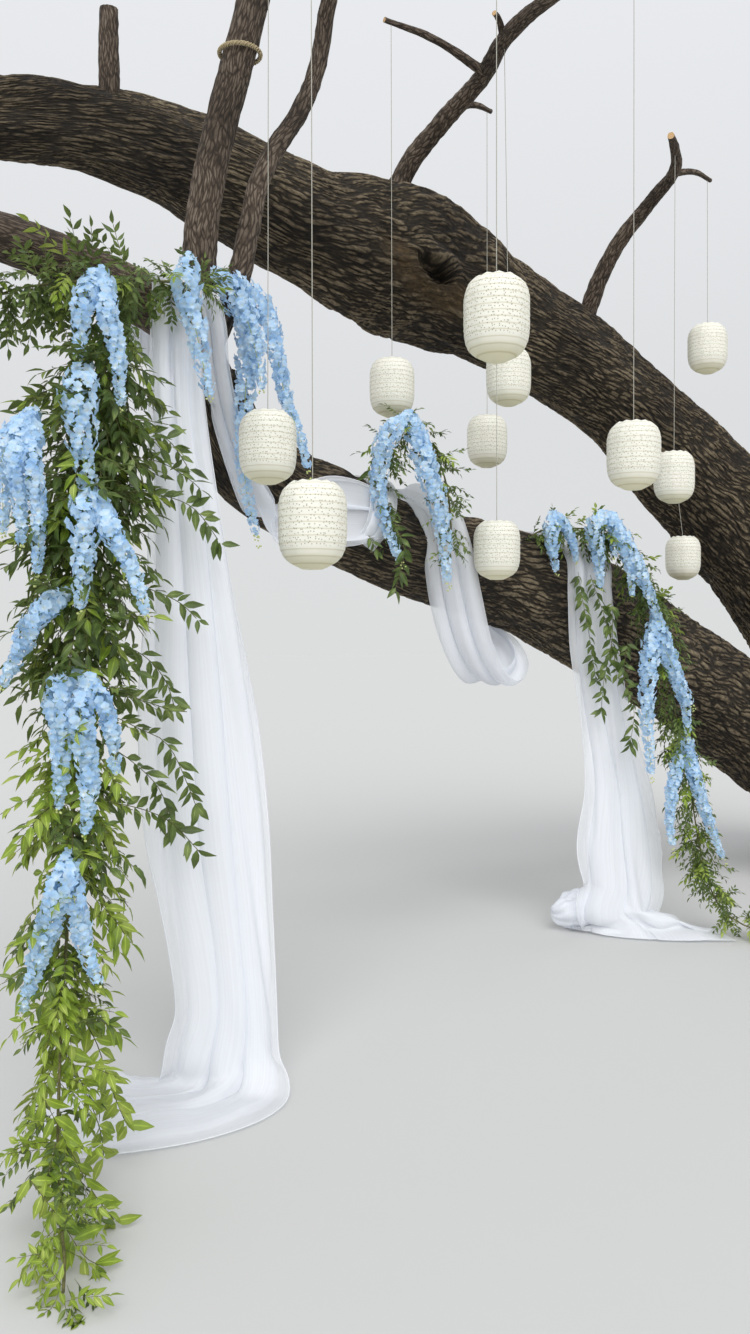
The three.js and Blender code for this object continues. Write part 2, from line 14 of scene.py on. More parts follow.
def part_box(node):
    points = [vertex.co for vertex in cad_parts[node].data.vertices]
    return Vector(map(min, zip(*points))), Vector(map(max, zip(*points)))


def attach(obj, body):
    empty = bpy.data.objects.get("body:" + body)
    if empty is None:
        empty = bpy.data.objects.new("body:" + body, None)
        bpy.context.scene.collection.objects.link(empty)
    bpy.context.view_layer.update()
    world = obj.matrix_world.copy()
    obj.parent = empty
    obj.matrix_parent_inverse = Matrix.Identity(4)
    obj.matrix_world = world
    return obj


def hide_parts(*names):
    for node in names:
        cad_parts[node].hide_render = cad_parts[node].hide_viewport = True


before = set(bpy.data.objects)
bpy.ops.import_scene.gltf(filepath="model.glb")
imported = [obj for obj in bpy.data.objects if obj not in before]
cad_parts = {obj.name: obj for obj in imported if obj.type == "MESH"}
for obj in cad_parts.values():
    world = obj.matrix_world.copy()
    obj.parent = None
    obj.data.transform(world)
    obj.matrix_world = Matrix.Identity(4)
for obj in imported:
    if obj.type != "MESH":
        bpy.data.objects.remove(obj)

MM = 0.001
SEED = 11
UP = Vector((0, 0, 1))
# The way that guests come from, a little upward: single leaves show their faces there
OUTWARD = Vector((-0.5, -0.8, 0.35))
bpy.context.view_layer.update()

# Timber: each row is a point of the centreline and the radius there
TRUNK_FOOT = [
    (0, 0, 0, 620), (0, 5, 160, 545), (-35, 25, 420, 480), (-130, 90, 760, 450), (-250, 180, 1060, 430),
]
UPPER_LIMB = [
    (-235, 170, 1020, 425), (-380, 265, 1340, 415), (-620, 400, 1770, 405), (-990, 570, 2220, 385),
    (-1470, 760, 2650, 325), (-2160, 960, 3110, 283), (-2640, 1090, 3320, 283), (-2980, 1190, 3450, 315),
    (-3240, 1260, 3530, 360), (-3550, 1350, 3620, 385), (-3850, 1420, 3660, 345), (-4160, 1490, 3700, 285),
    (-4560, 1560, 3800, 245), (-4960, 1630, 3870, 210), (-5380, 1700, 3860, 175), (-5750, 1790, 3790, 150),
]
LOWER_LIMB = [
    (-150, 60, 360, 300), (-600, 130, 520, 330), (-1000, 280, 760, 322), (-1280, 440, 1010, 318),
    (-1650, 570, 1270, 315), (-2130, 700, 1490, 315), (-2780, 800, 1750, 303), (-3200, 812, 1860, 268),
    (-3510, 820, 1930, 232), (-4090, 840, 2000, 212), (-4460, 850, 2090, 198), (-4870, 900, 2250, 172),
    (-5120, 850, 2420, 155), (-5250, 790, 2560, 135),
]
LEFT_BRANCH = [
    (-5170, 825, 2490, 118), (-5290, 760, 2600, 112), (-5430, 660, 2680, 104), (-5580, 560, 2715, 97),
    (-5830, 600, 2790, 90), (-6070, 690, 2870, 80), (-6250, 780, 2910, 74),
]
LEFT_STEM = [
    (-5235, 790, 2520, 76), (-5300, 745, 2680, 72), (-5350, 690, 2970, 66), (-5350, 650, 3220, 63),
    (-5330, 590, 3460, 62), (-5300, 520, 3700, 61), (-5270, 460, 3930, 60), (-5255, 420, 4120, 58),
]
RIGHT_STEM = [
    (-5290, 730, 2660, 48), (-5225, 640, 2880, 46), (-5175, 615, 3120, 43), (-5130, 610, 3320, 41),
    (-5050, 600, 3490, 39), (-4950, 575, 3660, 37), (-4880, 540, 3860, 35), (-4890, 470, 4060, 33),
    (-4960, 300, 4230, 31), (-5040, 0, 4300, 28), (-5080, -300, 4280, 24), (-5075, -590, 4220, 19),
]
FAR_STEM = [
    (-5190, 1640, 3800, 52), (-5200, 1590, 4010, 48), (-5215, 1570, 4200, 45), (-5220, 1560, 4380, 42),
]
MIDDLE_BRANCH = [
    (-3640, 1360, 3850, 62), (-3600, 1240, 4090, 54), (-3590, 1020, 4240, 49), (-3660, 690, 4330, 44),
    (-3820, 400, 4360, 38), (-3940, 20, 4350, 31), (-4040, -400, 4300, 24), (-4070, -520, 4280, 18),
]
RIGHT_BRANCH = [
    (-2330, 1010, 3240, 58), (-2370, 900, 3560, 52), (-2420, 700, 3820, 45), (-2480, 430, 4000, 38),
    (-2600, 220, 4070, 31), (-2730, 150, 4110, 25), (-2860, 100, 4120, 18),
]
TWIGS = {
    "right_stem": [
        [(-5010, 120, 4280, 20), (-5130, 290, 4320, 17), (-5260, 420, 4330, 12)],
        [(-5050, -80, 4290, 20), (-5300, -150, 4330, 16), (-5620, -230, 4310, 11)],
    ],
    "overhead_branch_middle": [
        [(-3620, 900, 4270, 20), (-3500, 865, 4320, 16), (-3370, 858, 4330, 12)],
        [(-3800, 430, 4350, 20), (-3910, 385, 4400, 14), (-3950, 375, 4400, 11)],
        [(-3700, 640, 4330, 24), (-3950, 730, 4420, 18), (-4230, 800, 4430, 12)],
    ],
    "overhead_branch_right": [[(-2580, 240, 4060, 20), (-2430, 200, 4100, 15), (-2270, 188, 4100, 11)]],
}
# Broad ribs that wind along both limbs: how many go round, their turn in radians for each metre of x, their
# start and their height
RIBS = [(5, 3.1, 0, 12), (3, -2.3, 1, 9), (2, 6.1, 2, 8)]
# Hollow where a large knot rotted out of the upper limb: its middle, half its width, its depth, half its
# height, its tilt, the way into the limb and the way along it
KNOT_HOLLOW = (-3630, 1000, 3490)
KNOT_REACH = (115, 120, 62)
KNOT_TILT = math.radians(24)
KNOT_INWARD = (0.45, 0.88, -0.12)
KNOT_ALONG = (0.89, -0.45, 0.0)
# How thick the lip of callus is, how far it droops, and how deep the groove above it is
KNOT_LIP = 34
KNOT_DROOP = 30
KNOT_GROOVE = 35
# Buttresses round the trunk's foot: how many, how far they stand out as a share of the radius, and where
# they start
BUTTRESSES = (5, 0.09, 0.4)
# How far apart a log's points are along it and round it, as shares of its spacing
LOG_FACET = (1.8, 0.55)


def linear(code):
    """The linear colour of an sRGB hex value."""
    parts = [int(code[i:i + 2], 16) / 255 for i in (1, 3, 5)]
    return tuple(c / 12.92 if c <= 0.04045 else ((c + 0.055) / 1.055) ** 2.4 for c in parts) + (1.0,)


def feed(node, sockets):
    """Sets a node's inputs. Each is a value, or another node's output to link."""
    for key, value in sockets.items():
        if isinstance(value, bpy.types.NodeSocket):
            node.id_data.links.new(value, node.inputs[key])
        else:
            node.inputs[key].default_value = value


def add(tree, kind, sockets=(), output=0, stops=(), **settings):
    """Adds one node with its settings and links, and returns one of its outputs. A shader node's kind comes
    without its prefix, and stops are the positions and hex colours of a colour ramp."""
    made = tree.nodes.new(kind if "Node" in kind else "ShaderNode" + kind)
    for key, value in settings.items():
        setattr(made, key, value)
    if stops:
        band = made.color_ramp.elements
        while len(band) < len(stops):
            band.new(0.5)
        for stop, (position, code) in zip(band, stops):
            stop.position = position
            stop.color = linear(code)
    feed(made, dict(sockets))
    return made.outputs[output]


def material(name):
    """A new material, and the function that adds its nodes."""
    made = bpy.data.materials.new(name)
    made.use_nodes = True
    return made, partial(add, made.node_tree)


def dress(made, sockets, relief=None, glow=None):
    """Finishes a material: its shader's inputs, its relief as a height, a strength and a real depth, and for
    thin stuff the share and the colour of the light that glows through."""
    tree = made.node_tree
    shader = tree.nodes["Principled BSDF"]
    feed(shader, sockets)
    if relief:
        bump = dict(zip(("Height", "Strength", "Distance"), relief))
        feed(shader, {"Normal": add(tree, "Bump", bump)})
    if glow:
        through = add(tree, "BsdfTranslucent", {"Color": linear(glow[1])})
        mixed = add(tree, "MixShader", {0: glow[0], 1: shader.outputs[0], 2: through})
        feed(tree.nodes["Material Output"], {"Surface": mixed})
    return made


# Settings of the nodes that ease a value into a range, and that multiply one colour by another
EASED = {"interpolation_type": "SMOOTHSTEP"}
TINT = {"data_type": "RGBA", "blend_type": "MULTIPLY"}
# How wide and how long one ridge of bark is, and how far the ridges wind round in a metre
RIDGE_ACROSS = 23 * MM
RIDGE_ALONG = 210 * MM
RIDGE_TWIST = 0.5
# How much broad patches of the bark are lifted, and what is taken off so that the log keeps its radius
PATCH_LIFT = 0.9
MEAN_LIFT = 1.1


def bark_relief(node, grain, across, along):
    """Long interlaced ridges: 0 in the furrows between them and 1 on top."""
    reach = node("SeparateXYZ", {0: grain})
    twist = node("Math", {0: reach, 1: RIDGE_TWIST}, operation="MULTIPLY")
    wound = node("VectorRotate", {"Vector": grain, "Angle": twist}, rotation_type="X_AXIS")
    wander = node("TexNoise", {"Vector": wound, "Scale": 4.0, "Detail": 3.0}, "Color")
    centred = node("VectorMath", {0: wander, 1: (0.5, 0.5, 0.5)}, operation="SUBTRACT")
    drift = node("VectorMath", {0: centred, 1: (0.1, 0.09, 0.09)}, operation="MULTIPLY")
    moved = node("VectorMath", {0: wound, 1: drift}, operation="ADD")
    cells = node("VectorMath", {0: moved, 1: (1 / along, 1 / across, 1 / across)}, operation="MULTIPLY")
    edge = node("TexVoronoi", {"Vector": cells, "Scale": 1.0}, feature="DISTANCE_TO_EDGE")
    return node("MapRange", {"Value": edge, "From Min": 0.0, "From Max": 0.26}, **EASED)


def bark_material(name, furrow_shade, ridge, crest, across=RIDGE_ACROSS, along=RIDGE_ALONG, depth=12 * MM):
    """Weathered bark, rough and dull: dark furrows, partly the bark's own tone and partly painted shade,
    between flaky ridges with greyer crests, paler and darker patches, and a smooth tan skin where a wound has
    healed."""
    made, node = material(name)
    grain = node("Attribute", output="Vector", attribute_name="grain")
    relief = bark_relief(node, grain, across, along)
    drawn_out = node("VectorMath", {0: grain, 1: (0.35, 1, 1)}, operation="MULTIPLY")
    flakes = node("TexNoise", {"Vector": drawn_out, "Scale": 90.0, "Detail": 5.0, "Roughness": 0.65})
    rough = node("Math", {0: relief, 1: flakes}, operation="MULTIPLY")
    height = node("Math", {0: flakes, 1: 0.55, 2: rough}, operation="MULTIPLY_ADD")
    # Colour by height: the furrow colour is partly the bark's own darker tone and partly painted shade in the
    # furrows
    tone = node("ValToRGB", {0: height}, stops=[(0.2, furrow_shade), (0.55, ridge), (0.95, crest)])
    patches = node("TexNoise", {"Vector": grain, "Scale": 2.2, "Detail": 3.0})
    shade = node("ValToRGB", {0: patches}, stops=[(0.35, "#7d746c"), (0.65, "#ffffff")])
    weathered = node("Mix", {0: 0.7, 6: tone, 7: shade}, 2, **TINT)
    healed = node("ValToRGB", {0: flakes}, stops=[(0.3, "#241c10"), (0.7, "#57462c")])
    callus = node("Attribute", output="Fac", attribute_name="callus")
    skin = node("Mix", {0: callus, 6: weathered, 7: healed}, 2, data_type="RGBA")
    return dress(made, {"Base Color": skin, "Roughness": 0.9, "IOR": 1.45}, (height, 0.9, depth))


def sawn_material():
    """Sawn oak: a dry tan face with growth rings round the heart."""
    made, node = material("sawn_wood")
    grain = node("Attribute", output="Vector", attribute_name="grain")
    across = node("VectorMath", {0: grain, 1: (0.0, 1.0, 1.0)}, operation="MULTIPLY")
    rings = node(
        "TexWave", {"Vector": across, "Scale": 22.0, "Distortion": 2.5, "Detail": 3.0}, "Fac",
        wave_type="RINGS", rings_direction="X",
    )
    tone = node("ValToRGB", {0: rings}, stops=[(0.0, "#b08a5c"), (1.0, "#d3b183")])
    return dress(made, {"Base Color": tone, "Roughness": 0.75}, (rings, 0.4, 1 * MM))


def deselect():
    bpy.ops.object.select_all(action="DESELECT")


def choose(*objects):
    """Selects objects and nothing else, the last one active."""
    deselect()
    for each in objects:
        each.select_set(True)
    bpy.context.view_layer.objects.active = objects[-1]


def start_piece(operator, name, **settings):
    """A primitive to start a piece from, added with nothing else selected."""
    deselect()
    operator(**settings)
    bpy.context.object.name = name
    return bpy.context.object


def link_object(name, data):
    """Puts new data in the scene as an object."""
    made = bpy.data.objects.new(name, data)
    bpy.context.scene.collection.objects.link(made)
    return made


def joined(*parts):
    """Joins parts into the last one."""
    choose(*parts)
    if len(parts) > 1:
        bpy.ops.object.join()
    return bpy.context.object


def points(mesh):
    """The places of a mesh's vertices, one row each."""
    places = np.empty(3 * len(mesh.vertices))
    mesh.vertices.foreach_get("co", places)
    return places.reshape(-1, 3)


def set_points(mesh, places):
    mesh.vertices.foreach_set("co", np.ascontiguousarray(places, float).ravel())
    mesh.update()


def raise_to(piece, lowest):
    """Lifts what would lie below a height, such as the ground."""
    places = points(piece.data)
    places[:, 2] = np.maximum(places[:, 2], lowest)
    set_points(piece.data, places)


def apply_modifier(piece, kind, **settings):
    choose(piece)
    modifier = piece.modifiers.new(kind.lower(), kind)
    for key, value in settings.items():
        setattr(modifier, key, value)
    bpy.ops.object.modifier_apply(modifier=modifier.name)


def shade_smooth(piece):
    choose(piece)
    bpy.ops.object.shade_smooth()


# Steps for edit: closes every hole, and turns all faces outwards
CLOSE_HOLES = (bpy.ops.mesh.fill_holes, {"sides": 0})
FACE_OUT = (bpy.ops.mesh.normals_make_consistent, {"inside": False})


def edit(piece, *steps, picked=None):
    """Runs edit mode operators on all of a piece, or on the faces that picked tells of. Each step is an
    operator and its settings."""
    choose(piece)
    bpy.ops.object.mode_set(mode="EDIT")
    bpy.ops.mesh.select_all(action="DESELECT" if picked else "SELECT")
    if picked:
        bpy.ops.object.mode_set(mode="OBJECT")
        for face in piece.data.polygons:
            face.select = picked(face)
        bpy.ops.object.mode_set(mode="EDIT")
    for operator, settings in steps:
        operator(**settings)
    bpy.ops.object.mode_set(mode="OBJECT")


def finish_piece(piece, node_name):
    """A finished piece rides on the arbor and stands for its node."""
    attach(piece, "root")
    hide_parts(node_name)


def centreline(rows):
    """A curve through the rows' points that gives a straight log its bend and its taper."""
    radius = sum(row[3] for row in rows) / len(rows)
    line = bpy.data.curves.new("centreline", "CURVE")
    line.dimensions = "3D"
    line.resolution_u = 16
    line.use_radius = line.use_stretch = line.use_deform_bounds = True
    spline = line.splines.new("BEZIER")
    spline.radius_interpolation = "EASE"
    spline.bezier_points.add(len(rows) - 1)
    for point, (x, y, z, size) in zip(spline.bezier_points, rows):
        point.co = Vector((x, y, z)) * MM
        point.radius = size / radius
        point.handle_left_type = point.handle_right_type = "AUTO"
    path = link_object("centreline", line)
    bpy.context.view_layer.update()
    return path, spline.calc_length(), radius * MM


def bark_nodes(depth, across, along):
    """Raises the ridges of bark on a straight log, and keeps each point's place there for the materials."""
    tree = bpy.data.node_groups.new("bark_relief", "GeometryNodeTree")
    for way in ("INPUT", "OUTPUT"):
        tree.interface.new_socket("Geometry", in_out=way, socket_type="NodeSocketGeometry")
    node = partial(add, tree)
    place = node("GeometryNodeInputPosition")
    straight = {"Geometry": node("NodeGroupInput"), "Name": "grain", "Value": place}
    kept = node("GeometryNodeStoreNamedAttribute", straight, data_type="FLOAT_VECTOR")
    relief = bark_relief(node, place, across, along)
    patches = node("TexNoise", {"Vector": place, "Scale": 9.0, "Detail": 2.0})
    lift = node("Math", {0: patches, 1: PATCH_LIFT, 2: relief}, operation="MULTIPLY_ADD")
    level = node("Math", {0: lift, 1: MEAN_LIFT}, operation="SUBTRACT")
    amount = node("Math", {0: level, 1: depth}, operation="MULTIPLY")
    offset = node("VectorMath", {0: node("GeometryNodeInputNormal"), "Scale": amount}, operation="SCALE")
    raised = node("GeometryNodeSetPosition", {"Geometry": kept, "Offset": offset})
    feed(tree.nodes.new("NodeGroupOutput"), {0: raised})
    return tree


def buttressed(places):
    """Low buttresses at the foot, which die out half way up."""
    count, share, start = BUTTRESSES
    turn = np.arctan2(places[:, 2], places[:, 1])
    fade = np.clip(1 - 2.2 * places[:, 0] / places[:, 0].max(), 0, 1)
    swell = 1 + share * np.sin(count * turn + start) * fade
    return places * np.column_stack([np.ones(len(places)), swell, swell])


def log(name, rows, spacing, depth, across=RIDGE_ACROSS, along=RIDGE_ALONG, shape=None):
    """A round log with bark: rolled up from a grid, raised into ridges and bent along its centreline."""
    path, length, radius = centreline(rows)
    sides = max(8, round(2 * math.pi * radius / (LOG_FACET[1] * spacing)))
    lengths = round(length / (LOG_FACET[0] * spacing))
    grid = {"x_subdivisions": lengths, "y_subdivisions": sides, "size": 1}
    piece = start_piece(bpy.ops.mesh.primitive_grid_add, name, **grid)
    flat = points(piece.data) + 0.5
    turn = 2 * math.pi * flat[:, 1]
    rolled = np.column_stack([length * flat[:, 0], radius * np.cos(turn), radius * np.sin(turn)])
    set_points(piece.data, rolled if shape is None else shape(rolled))
    edit(piece, (bpy.ops.mesh.remove_doubles, {"threshold": 0.1 * MM}), FACE_OUT)
    apply_modifier(piece, "NODES", node_group=bark_nodes(depth, across, along))
    apply_modifier(piece, "CURVE", object=path, deform_axis="POS_X")
    bpy.data.objects.remove(path)
    edit(piece, CLOSE_HOLES, FACE_OUT)
    choose(piece)
    bpy.ops.object.shade_smooth_by_angle(angle=math.radians(60))
    return piece


def cover_log(piece, rows, bark):
    """Bark on the round and sawn wood on the free end face, where the rows end."""
    piece.data.materials.append(bark)
    piece.data.materials.append(SAWN)
    tip = Vector(rows[-1][:3]) * MM
    for face in piece.data.polygons:
        if len(face.vertices) > 4 and (face.center - tip).length < 50 * MM:
            face.material_index = 1


def stations(rows, count):
    """Evenly spaced points of a smooth line through the rows, their other numbers too, and its length."""
    table = np.array(rows, float)
    steps = np.linspace(0, len(table) - 1, 24 * len(table))
    low = np.minimum(steps.astype(int), len(table) - 2)
    part = (steps - low)[:, None]
    ends = np.vstack([2 * table[0] - table[1], table, 2 * table[-1] - table[-2]])
    before, start, end, after = (ends[low + k] for k in range(4))
    slope, turn = end - before, 2 * before - 5 * start + 4 * end - after
    dense = start + 0.5 * part * (slope + part * (turn + part * (3 * (start - end) + after - before)))
    reach = np.concatenate([[0], np.cumsum(np.linalg.norm(np.diff(dense[:, :3], axis=0), axis=1))])
    even = np.linspace(0, reach[-1], count)
    return np.column_stack([np.interp(even, reach, column) for column in dense.T]), reach[-1] * MM


def unit(vectors):
    """Vectors, one a row, each made one long."""
    return vectors / np.linalg.norm(vectors, axis=-1, keepdims=True)


def raise_ribs(piece, rows):
    """Lifts the broad ribs of a limb out from its centreline."""
    table, _ = stations(rows, 400)
    middle = table[:, :3] * MM
    along = unit(np.gradient(middle, axis=0))
    level = unit(np.cross(along, np.array(UP)))
    over = np.cross(along, level)
    places = points(piece.data)
    tree = KDTree(len(middle))
    for i, place in enumerate(middle):
        tree.insert(place, i)
    tree.balance()
    near = np.array([tree.find(place)[1] for place in places])
    away = places - middle[near]
    turn = np.arctan2(np.sum(away * over[near], axis=1), np.sum(away * level[near], axis=1))
    x = middle[near, 0]
    lift = sum(height * np.sin(count * turn + wind * x + start) for count, wind, start, height in RIBS)
    reach = np.linalg.norm(away, axis=1, keepdims=True)
    set_points(piece.data, places + away / np.maximum(reach, 0.01) * (lift * MM)[:, None])


def rot_out_knot(piece):
    """Pushes in the long hollow where a knot rotted out, and rolls a lip of callus over it."""
    places = points(piece.data)
    inward = np.array(KNOT_INWARD)
    away = places - np.array(KNOT_HOLLOW) * MM
    level = (away - np.outer(away @ inward, inward)) @ np.array(KNOT_ALONG)
    wide = (level * math.cos(KNOT_TILT) - away[:, 2] * math.sin(KNOT_TILT)) / (KNOT_REACH[0] * MM)
    high = (away[:, 2] * math.cos(KNOT_TILT) + level * math.sin(KNOT_TILT)) / (KNOT_REACH[2] * MM)
    near = np.abs(away @ inward) < 0.2
    gap = np.hypot(wide, high)
    pit = KNOT_REACH[1] * MM * np.clip(2.2 * (1 - gap**2), 0, 1) * near
    lip = KNOT_LIP * MM * np.exp(-((gap - 1.3) / 0.4) ** 2) * (0.7 + 0.5 * np.clip(high, -1, 1)) * near
    reach = ((high - 0.5 * wide - 1.2) / 0.7) ** 2 + ((wide + 2.2) / 1.5) ** 2
    groove = KNOT_GROOVE * MM * near * np.exp(-reach)
    droop = KNOT_DROOP * MM * np.clip(high, 0, 1) * np.exp(-((gap - 1.0) / 0.4) ** 2) * near
    pushed = places + np.outer(pit + groove - lip, inward)
    pushed[:, 2] -= droop
    set_points(piece.data, pushed)
    healed = np.exp(-((gap - 1.9) / 0.9) ** 2) * np.clip(0.6 - high, 0, 1) * near
    callus = piece.data.attributes.new("callus", "FLOAT", "POINT")
    callus.data.foreach_set("value", np.clip(healed, 0, 1))


# The furrow colour is near black, partly painted shade in the furrows, and all the bark colours are darker
# than the bark's own tone, painted shade as for a limb in the shade of trees
BARK = bark_material("furrowed_bark", "#0f0c07", "#443a2b", "#8e8068")
STEM_BARK = bark_material("young_bark", "#2c241d", "#5d5043", "#85786a", 12 * MM, 70 * MM, 4 * MM)
SAWN = sawn_material()

# How wide and how long a ridge is on the stems and twigs
STEM_RIDGE = (14 * MM, 70 * MM)

# Each log has the spacing of its points and the height of its bark's ridges
foot = log("foot_bark", TRUNK_FOOT, 26 * MM, 16 * MM, shape=buttressed)
lower = log("lower_limb_bark", LOWER_LIMB, 17 * MM, 13 * MM)
upper = log("upper_limb_bark", UPPER_LIMB, 17 * MM, 13 * MM)
cover_log(upper, UPPER_LIMB, BARK)
raise_ribs(lower, LOWER_LIMB)
raise_ribs(upper, UPPER_LIMB)
rot_out_knot(upper)
raise_to(foot, 0)
foot.data.materials.append(BARK)
lower.data.materials.append(BARK)
finish_piece(foot, "trunk_foot")
finish_piece(lower, "lower_limb")
finish_piece(upper, "upper_limb")


def stem(name, rows, node_name):
    """A stem or branch with its twigs, each sawn off at its tip."""
    parts = [log(name, rows, 16 * MM, 3.5 * MM, *STEM_RIDGE)]
    cover_log(parts[0], rows, STEM_BARK)
    for twig in TWIGS.get(node_name, []):
        parts.append(log("twig", twig, 10 * MM, 1.5 * MM, *STEM_RIDGE))
        cover_log(parts[-1], twig, STEM_BARK)
    finish_piece(joined(*parts[::-1]), node_name)


stem("left_stem_bark", LEFT_STEM, "left_stem")
stem("right_stem_bark", RIGHT_STEM, "right_stem")
stem("far_stem_bark", FAR_STEM, "far_stem")
stem("left_branch_bark", LEFT_BRANCH, "left_branch")
stem("middle_branch_bark", MIDDLE_BRANCH, "overhead_branch_middle")
stem("right_branch_bark", RIGHT_BRANCH, "overhead_branch_right")


def gathered(name, rows, pleats, columns, seed, pitch=17 * MM):
    """A sheet of cloth gathered along a line into soft pleats that lie partly over each other. Each row is a
    point of the line, half the width and half the depth of the pleats, the way that the width points in
    degrees, how far the middle leads, and for some how steeply the width points up."""
    draw = np.random.default_rng(SEED + seed)
    _, length = stations(rows, 2)
    lines = round(length / pitch)
    table, _ = stations(rows, lines + 1)
    middle, wide, deep = table[:, :3] * MM, table[:, 3] * MM, table[:, 4] * MM
    turn, lead = np.radians(table[:, 5]), table[:, 6] * MM
    along = unit(np.gradient(middle, axis=0))
    climb = np.radians(table[:, 7]) if table.shape[1] > 7 else 0 * turn
    across = np.column_stack([np.cos(turn) * np.cos(climb), np.sin(turn) * np.cos(climb), np.sin(climb)])
    ahead = np.column_stack([across[:, 1], -across[:, 0], np.zeros(len(turn))])
    lifted = np.clip(middle[:, 2:] / (150 * MM), 0, 1)
    across = unit(across - lifted * along * np.sum(across * along, axis=1, keepdims=True))
    out = np.cross(along, across)

    grid = {"x_subdivisions": lines, "y_subdivisions": columns, "size": 1}
    piece = start_piece(bpy.ops.mesh.primitive_grid_add, name, **grid)
    flat = points(piece.data) + 0.5
    line = np.rint(flat[:, 0] * lines).astype(int)
    v, s = flat[:, 1], flat[:, 0] * length
    # Waves of unlike lengths, each shifted at random, so that no two pleats are the same
    shift = draw.uniform(0, 2 * math.pi, 8)
    drift = 0.045 * np.sin(4 * v + 0.9 * s + shift[0]) + 0.018 * np.sin(9 * v - 1.6 * s + shift[1])
    phase = 2 * math.pi * pleats * (v + drift) + shift[2]
    calm = np.clip(np.minimum(v, 1 - v) / 0.16, 0, 1) ** 0.8
    bold = 0.72 + 0.28 * np.sin(5 * v + 1.2 * s + shift[3]) * np.sin(3 * v - 0.7 * s + shift[4])
    overlap = 0.62 / pleats * (0.3 + 0.7 * lifted[line, 0])
    side = 2 * v - 1 + overlap * bold * calm * np.sin(phase)
    ripple = 0.07 * np.sin(2.6 * phase + 1.4 * s + shift[5]) + 0.02 * np.sin(5.3 * phase - 2.2 * s + shift[6])
    depth = bold * (0.45 + 0.55 * calm) * np.cos(phase) + ripple
    places = (
        middle[line]
        + across[line] * (wide[line] * side)[:, None]
        + out[line] * (deep[line] * depth)[:, None]
        + ahead[line] * (lead[line] * (0.6 - (2 * v - 1) ** 2))[:, None]
    )
    set_points(piece.data, places)
    return piece, flat


# Drapes: each row is a point of the fall's line, half the width and half the depth of its folds, the way that
# the width points in degrees, and how far the middle of the width leads its edges
LEFT_DRAPE = [
    (-5580, 705, 2560, 82, 24, -25, 0), (-5585, 680, 2740, 90, 20, -25, 0),
    (-5600, 564, 2846, 96, 18, -25, 0), (-5623, 444, 2768, 92, 22, -25, 0),
    (-5645, 412, 2600, 88, 30, -25, 10), (-5659, 402, 2300, 92, 34, -25, 14),
    (-5605, 372, 1820, 154, 32, -25, 20), (-5576, 350, 1340, 228, 30, -25, 24),
    (-5549, 326, 900, 235, 30, -25, 28), (-5507, 298, 540, 188, 32, -27, 32),
    (-5487, 286, 290, 176, 34, -32, 34), (-5503, 298, 130, 222, 34, -42, 30),
    (-5530, 290, 52, 268, 26, -64, 20), (-5628, 290, 40, 291, 24, -80, 10),
    (-5765, 336, 34, 300, 22, -94, 0), (-5905, 426, 30, 304, 20, -107, 0),
    (-6090, 535, 26, 288, 18, -114, 0),
]
RIGHT_DRAPE = [
    (-3080, 1160, 1830, 102, 22, -25, 0), (-3010, 1095, 2030, 116, 20, -25, 0),
    (-2965, 957, 2112, 126, 16, -25, 0), (-2965, 800, 2132, 130, 16, -25, 0),
    (-2995, 611, 2092, 132, 18, -25, 0), (-3028, 484, 1965, 132, 26, -25, 8),
    (-3045, 464, 1780, 132, 32, -25, 10), (-3014, 456, 1500, 142, 34, -25, 12),
    (-2936, 421, 1180, 146, 34, -25, 16), (-2854, 375, 830, 204, 32, -25, 22),
    (-2848, 370, 500, 284, 32, -25, 28), (-2845, 365, 270, 262, 36, -30, 34),
    (-2885, 375, 130, 258, 40, -39, 44), (-2840, 328, 80, 346, 44, -49, 52),
    (-2802, 278, 52, 408, 40, -55, 60), (-2838, 200, 24, 446, 24, -66, 80),
]
SWAG_DRAPE = [
    (-4160, 905, 2240, 66, 16, -55, 0), (-4115, 770, 2250, 82, 18, -55, 0),
    (-4086, 622, 2152, 104, 24, -42, 0), (-4052, 572, 1980, 116, 32, -36, 0),
    (-3998, 566, 1750, 122, 44, -44, 0), (-3900, 576, 1530, 120, 50, -55, 0),
    (-3750, 600, 1388, 120, 54, -55, 0), (-3590, 630, 1372, 114, 54, -55, 0),
    (-3430, 700, 1442, 106, 50, -55, 0), (-3330, 840, 1545, 96, 44, -55, 0),
    (-3250, 1030, 1640, 90, 34, -55, 0), (-3172, 1128, 1776, 92, 26, -55, 0),
]
LINK_DRAPE = [
    (-5470, 655, 2836, 60, 18, -25, 0, 0), (-5465, 520, 2802, 60, 20, -25, 0, 0),
    (-5430, 500, 2690, 56, 24, -25, 0, 0), (-5350, 580, 2550, 54, 26, -25, 0, 0),
    (-5215, 665, 2340, 58, 30, -25, 0, -5), (-5075, 660, 2075, 74, 34, -25, 0, -35),
    (-4930, 640, 2015, 112, 28, -25, 0, -70), (-4760, 624, 2082, 152, 20, -25, 0, -85),
    (-4610, 624, 2096, 150, 14, -25, 0, -88), (-4470, 632, 2102, 122, 9, -25, 0, -88),
    (-4380, 640, 2106, 96, 6, -25, 0, -88),
]
# Soft lumps where the drapes lie on the ground: for each its place, how far it reaches and its height
PUFFS = {
    "left_chiffon": [
        (-5775, 620, 95, 62), (-5566, 543, 90, 56), (-5640, 60, 110, 26), (-5800, 300, 120, 30),
        (-5960, 560, 110, 46), (-6080, 380, 120, 34), (-5880, 120, 90, 22), (-6130, 680, 90, 40),
    ],
    "right_chiffon": [
        (-2760, 100, 100, 76), (-2700, 0, 90, 84), (-2650, -90, 80, 84), (-2980, 480, 90, 50),
        (-2880, 250, 90, 44),
    ],
}
# Where the right drape's end is bunched up: the middle, half the sizes and the turn in degrees
RIGHT_KNOB = ((-2990, 600, 102), (124, 88, 104), -45)
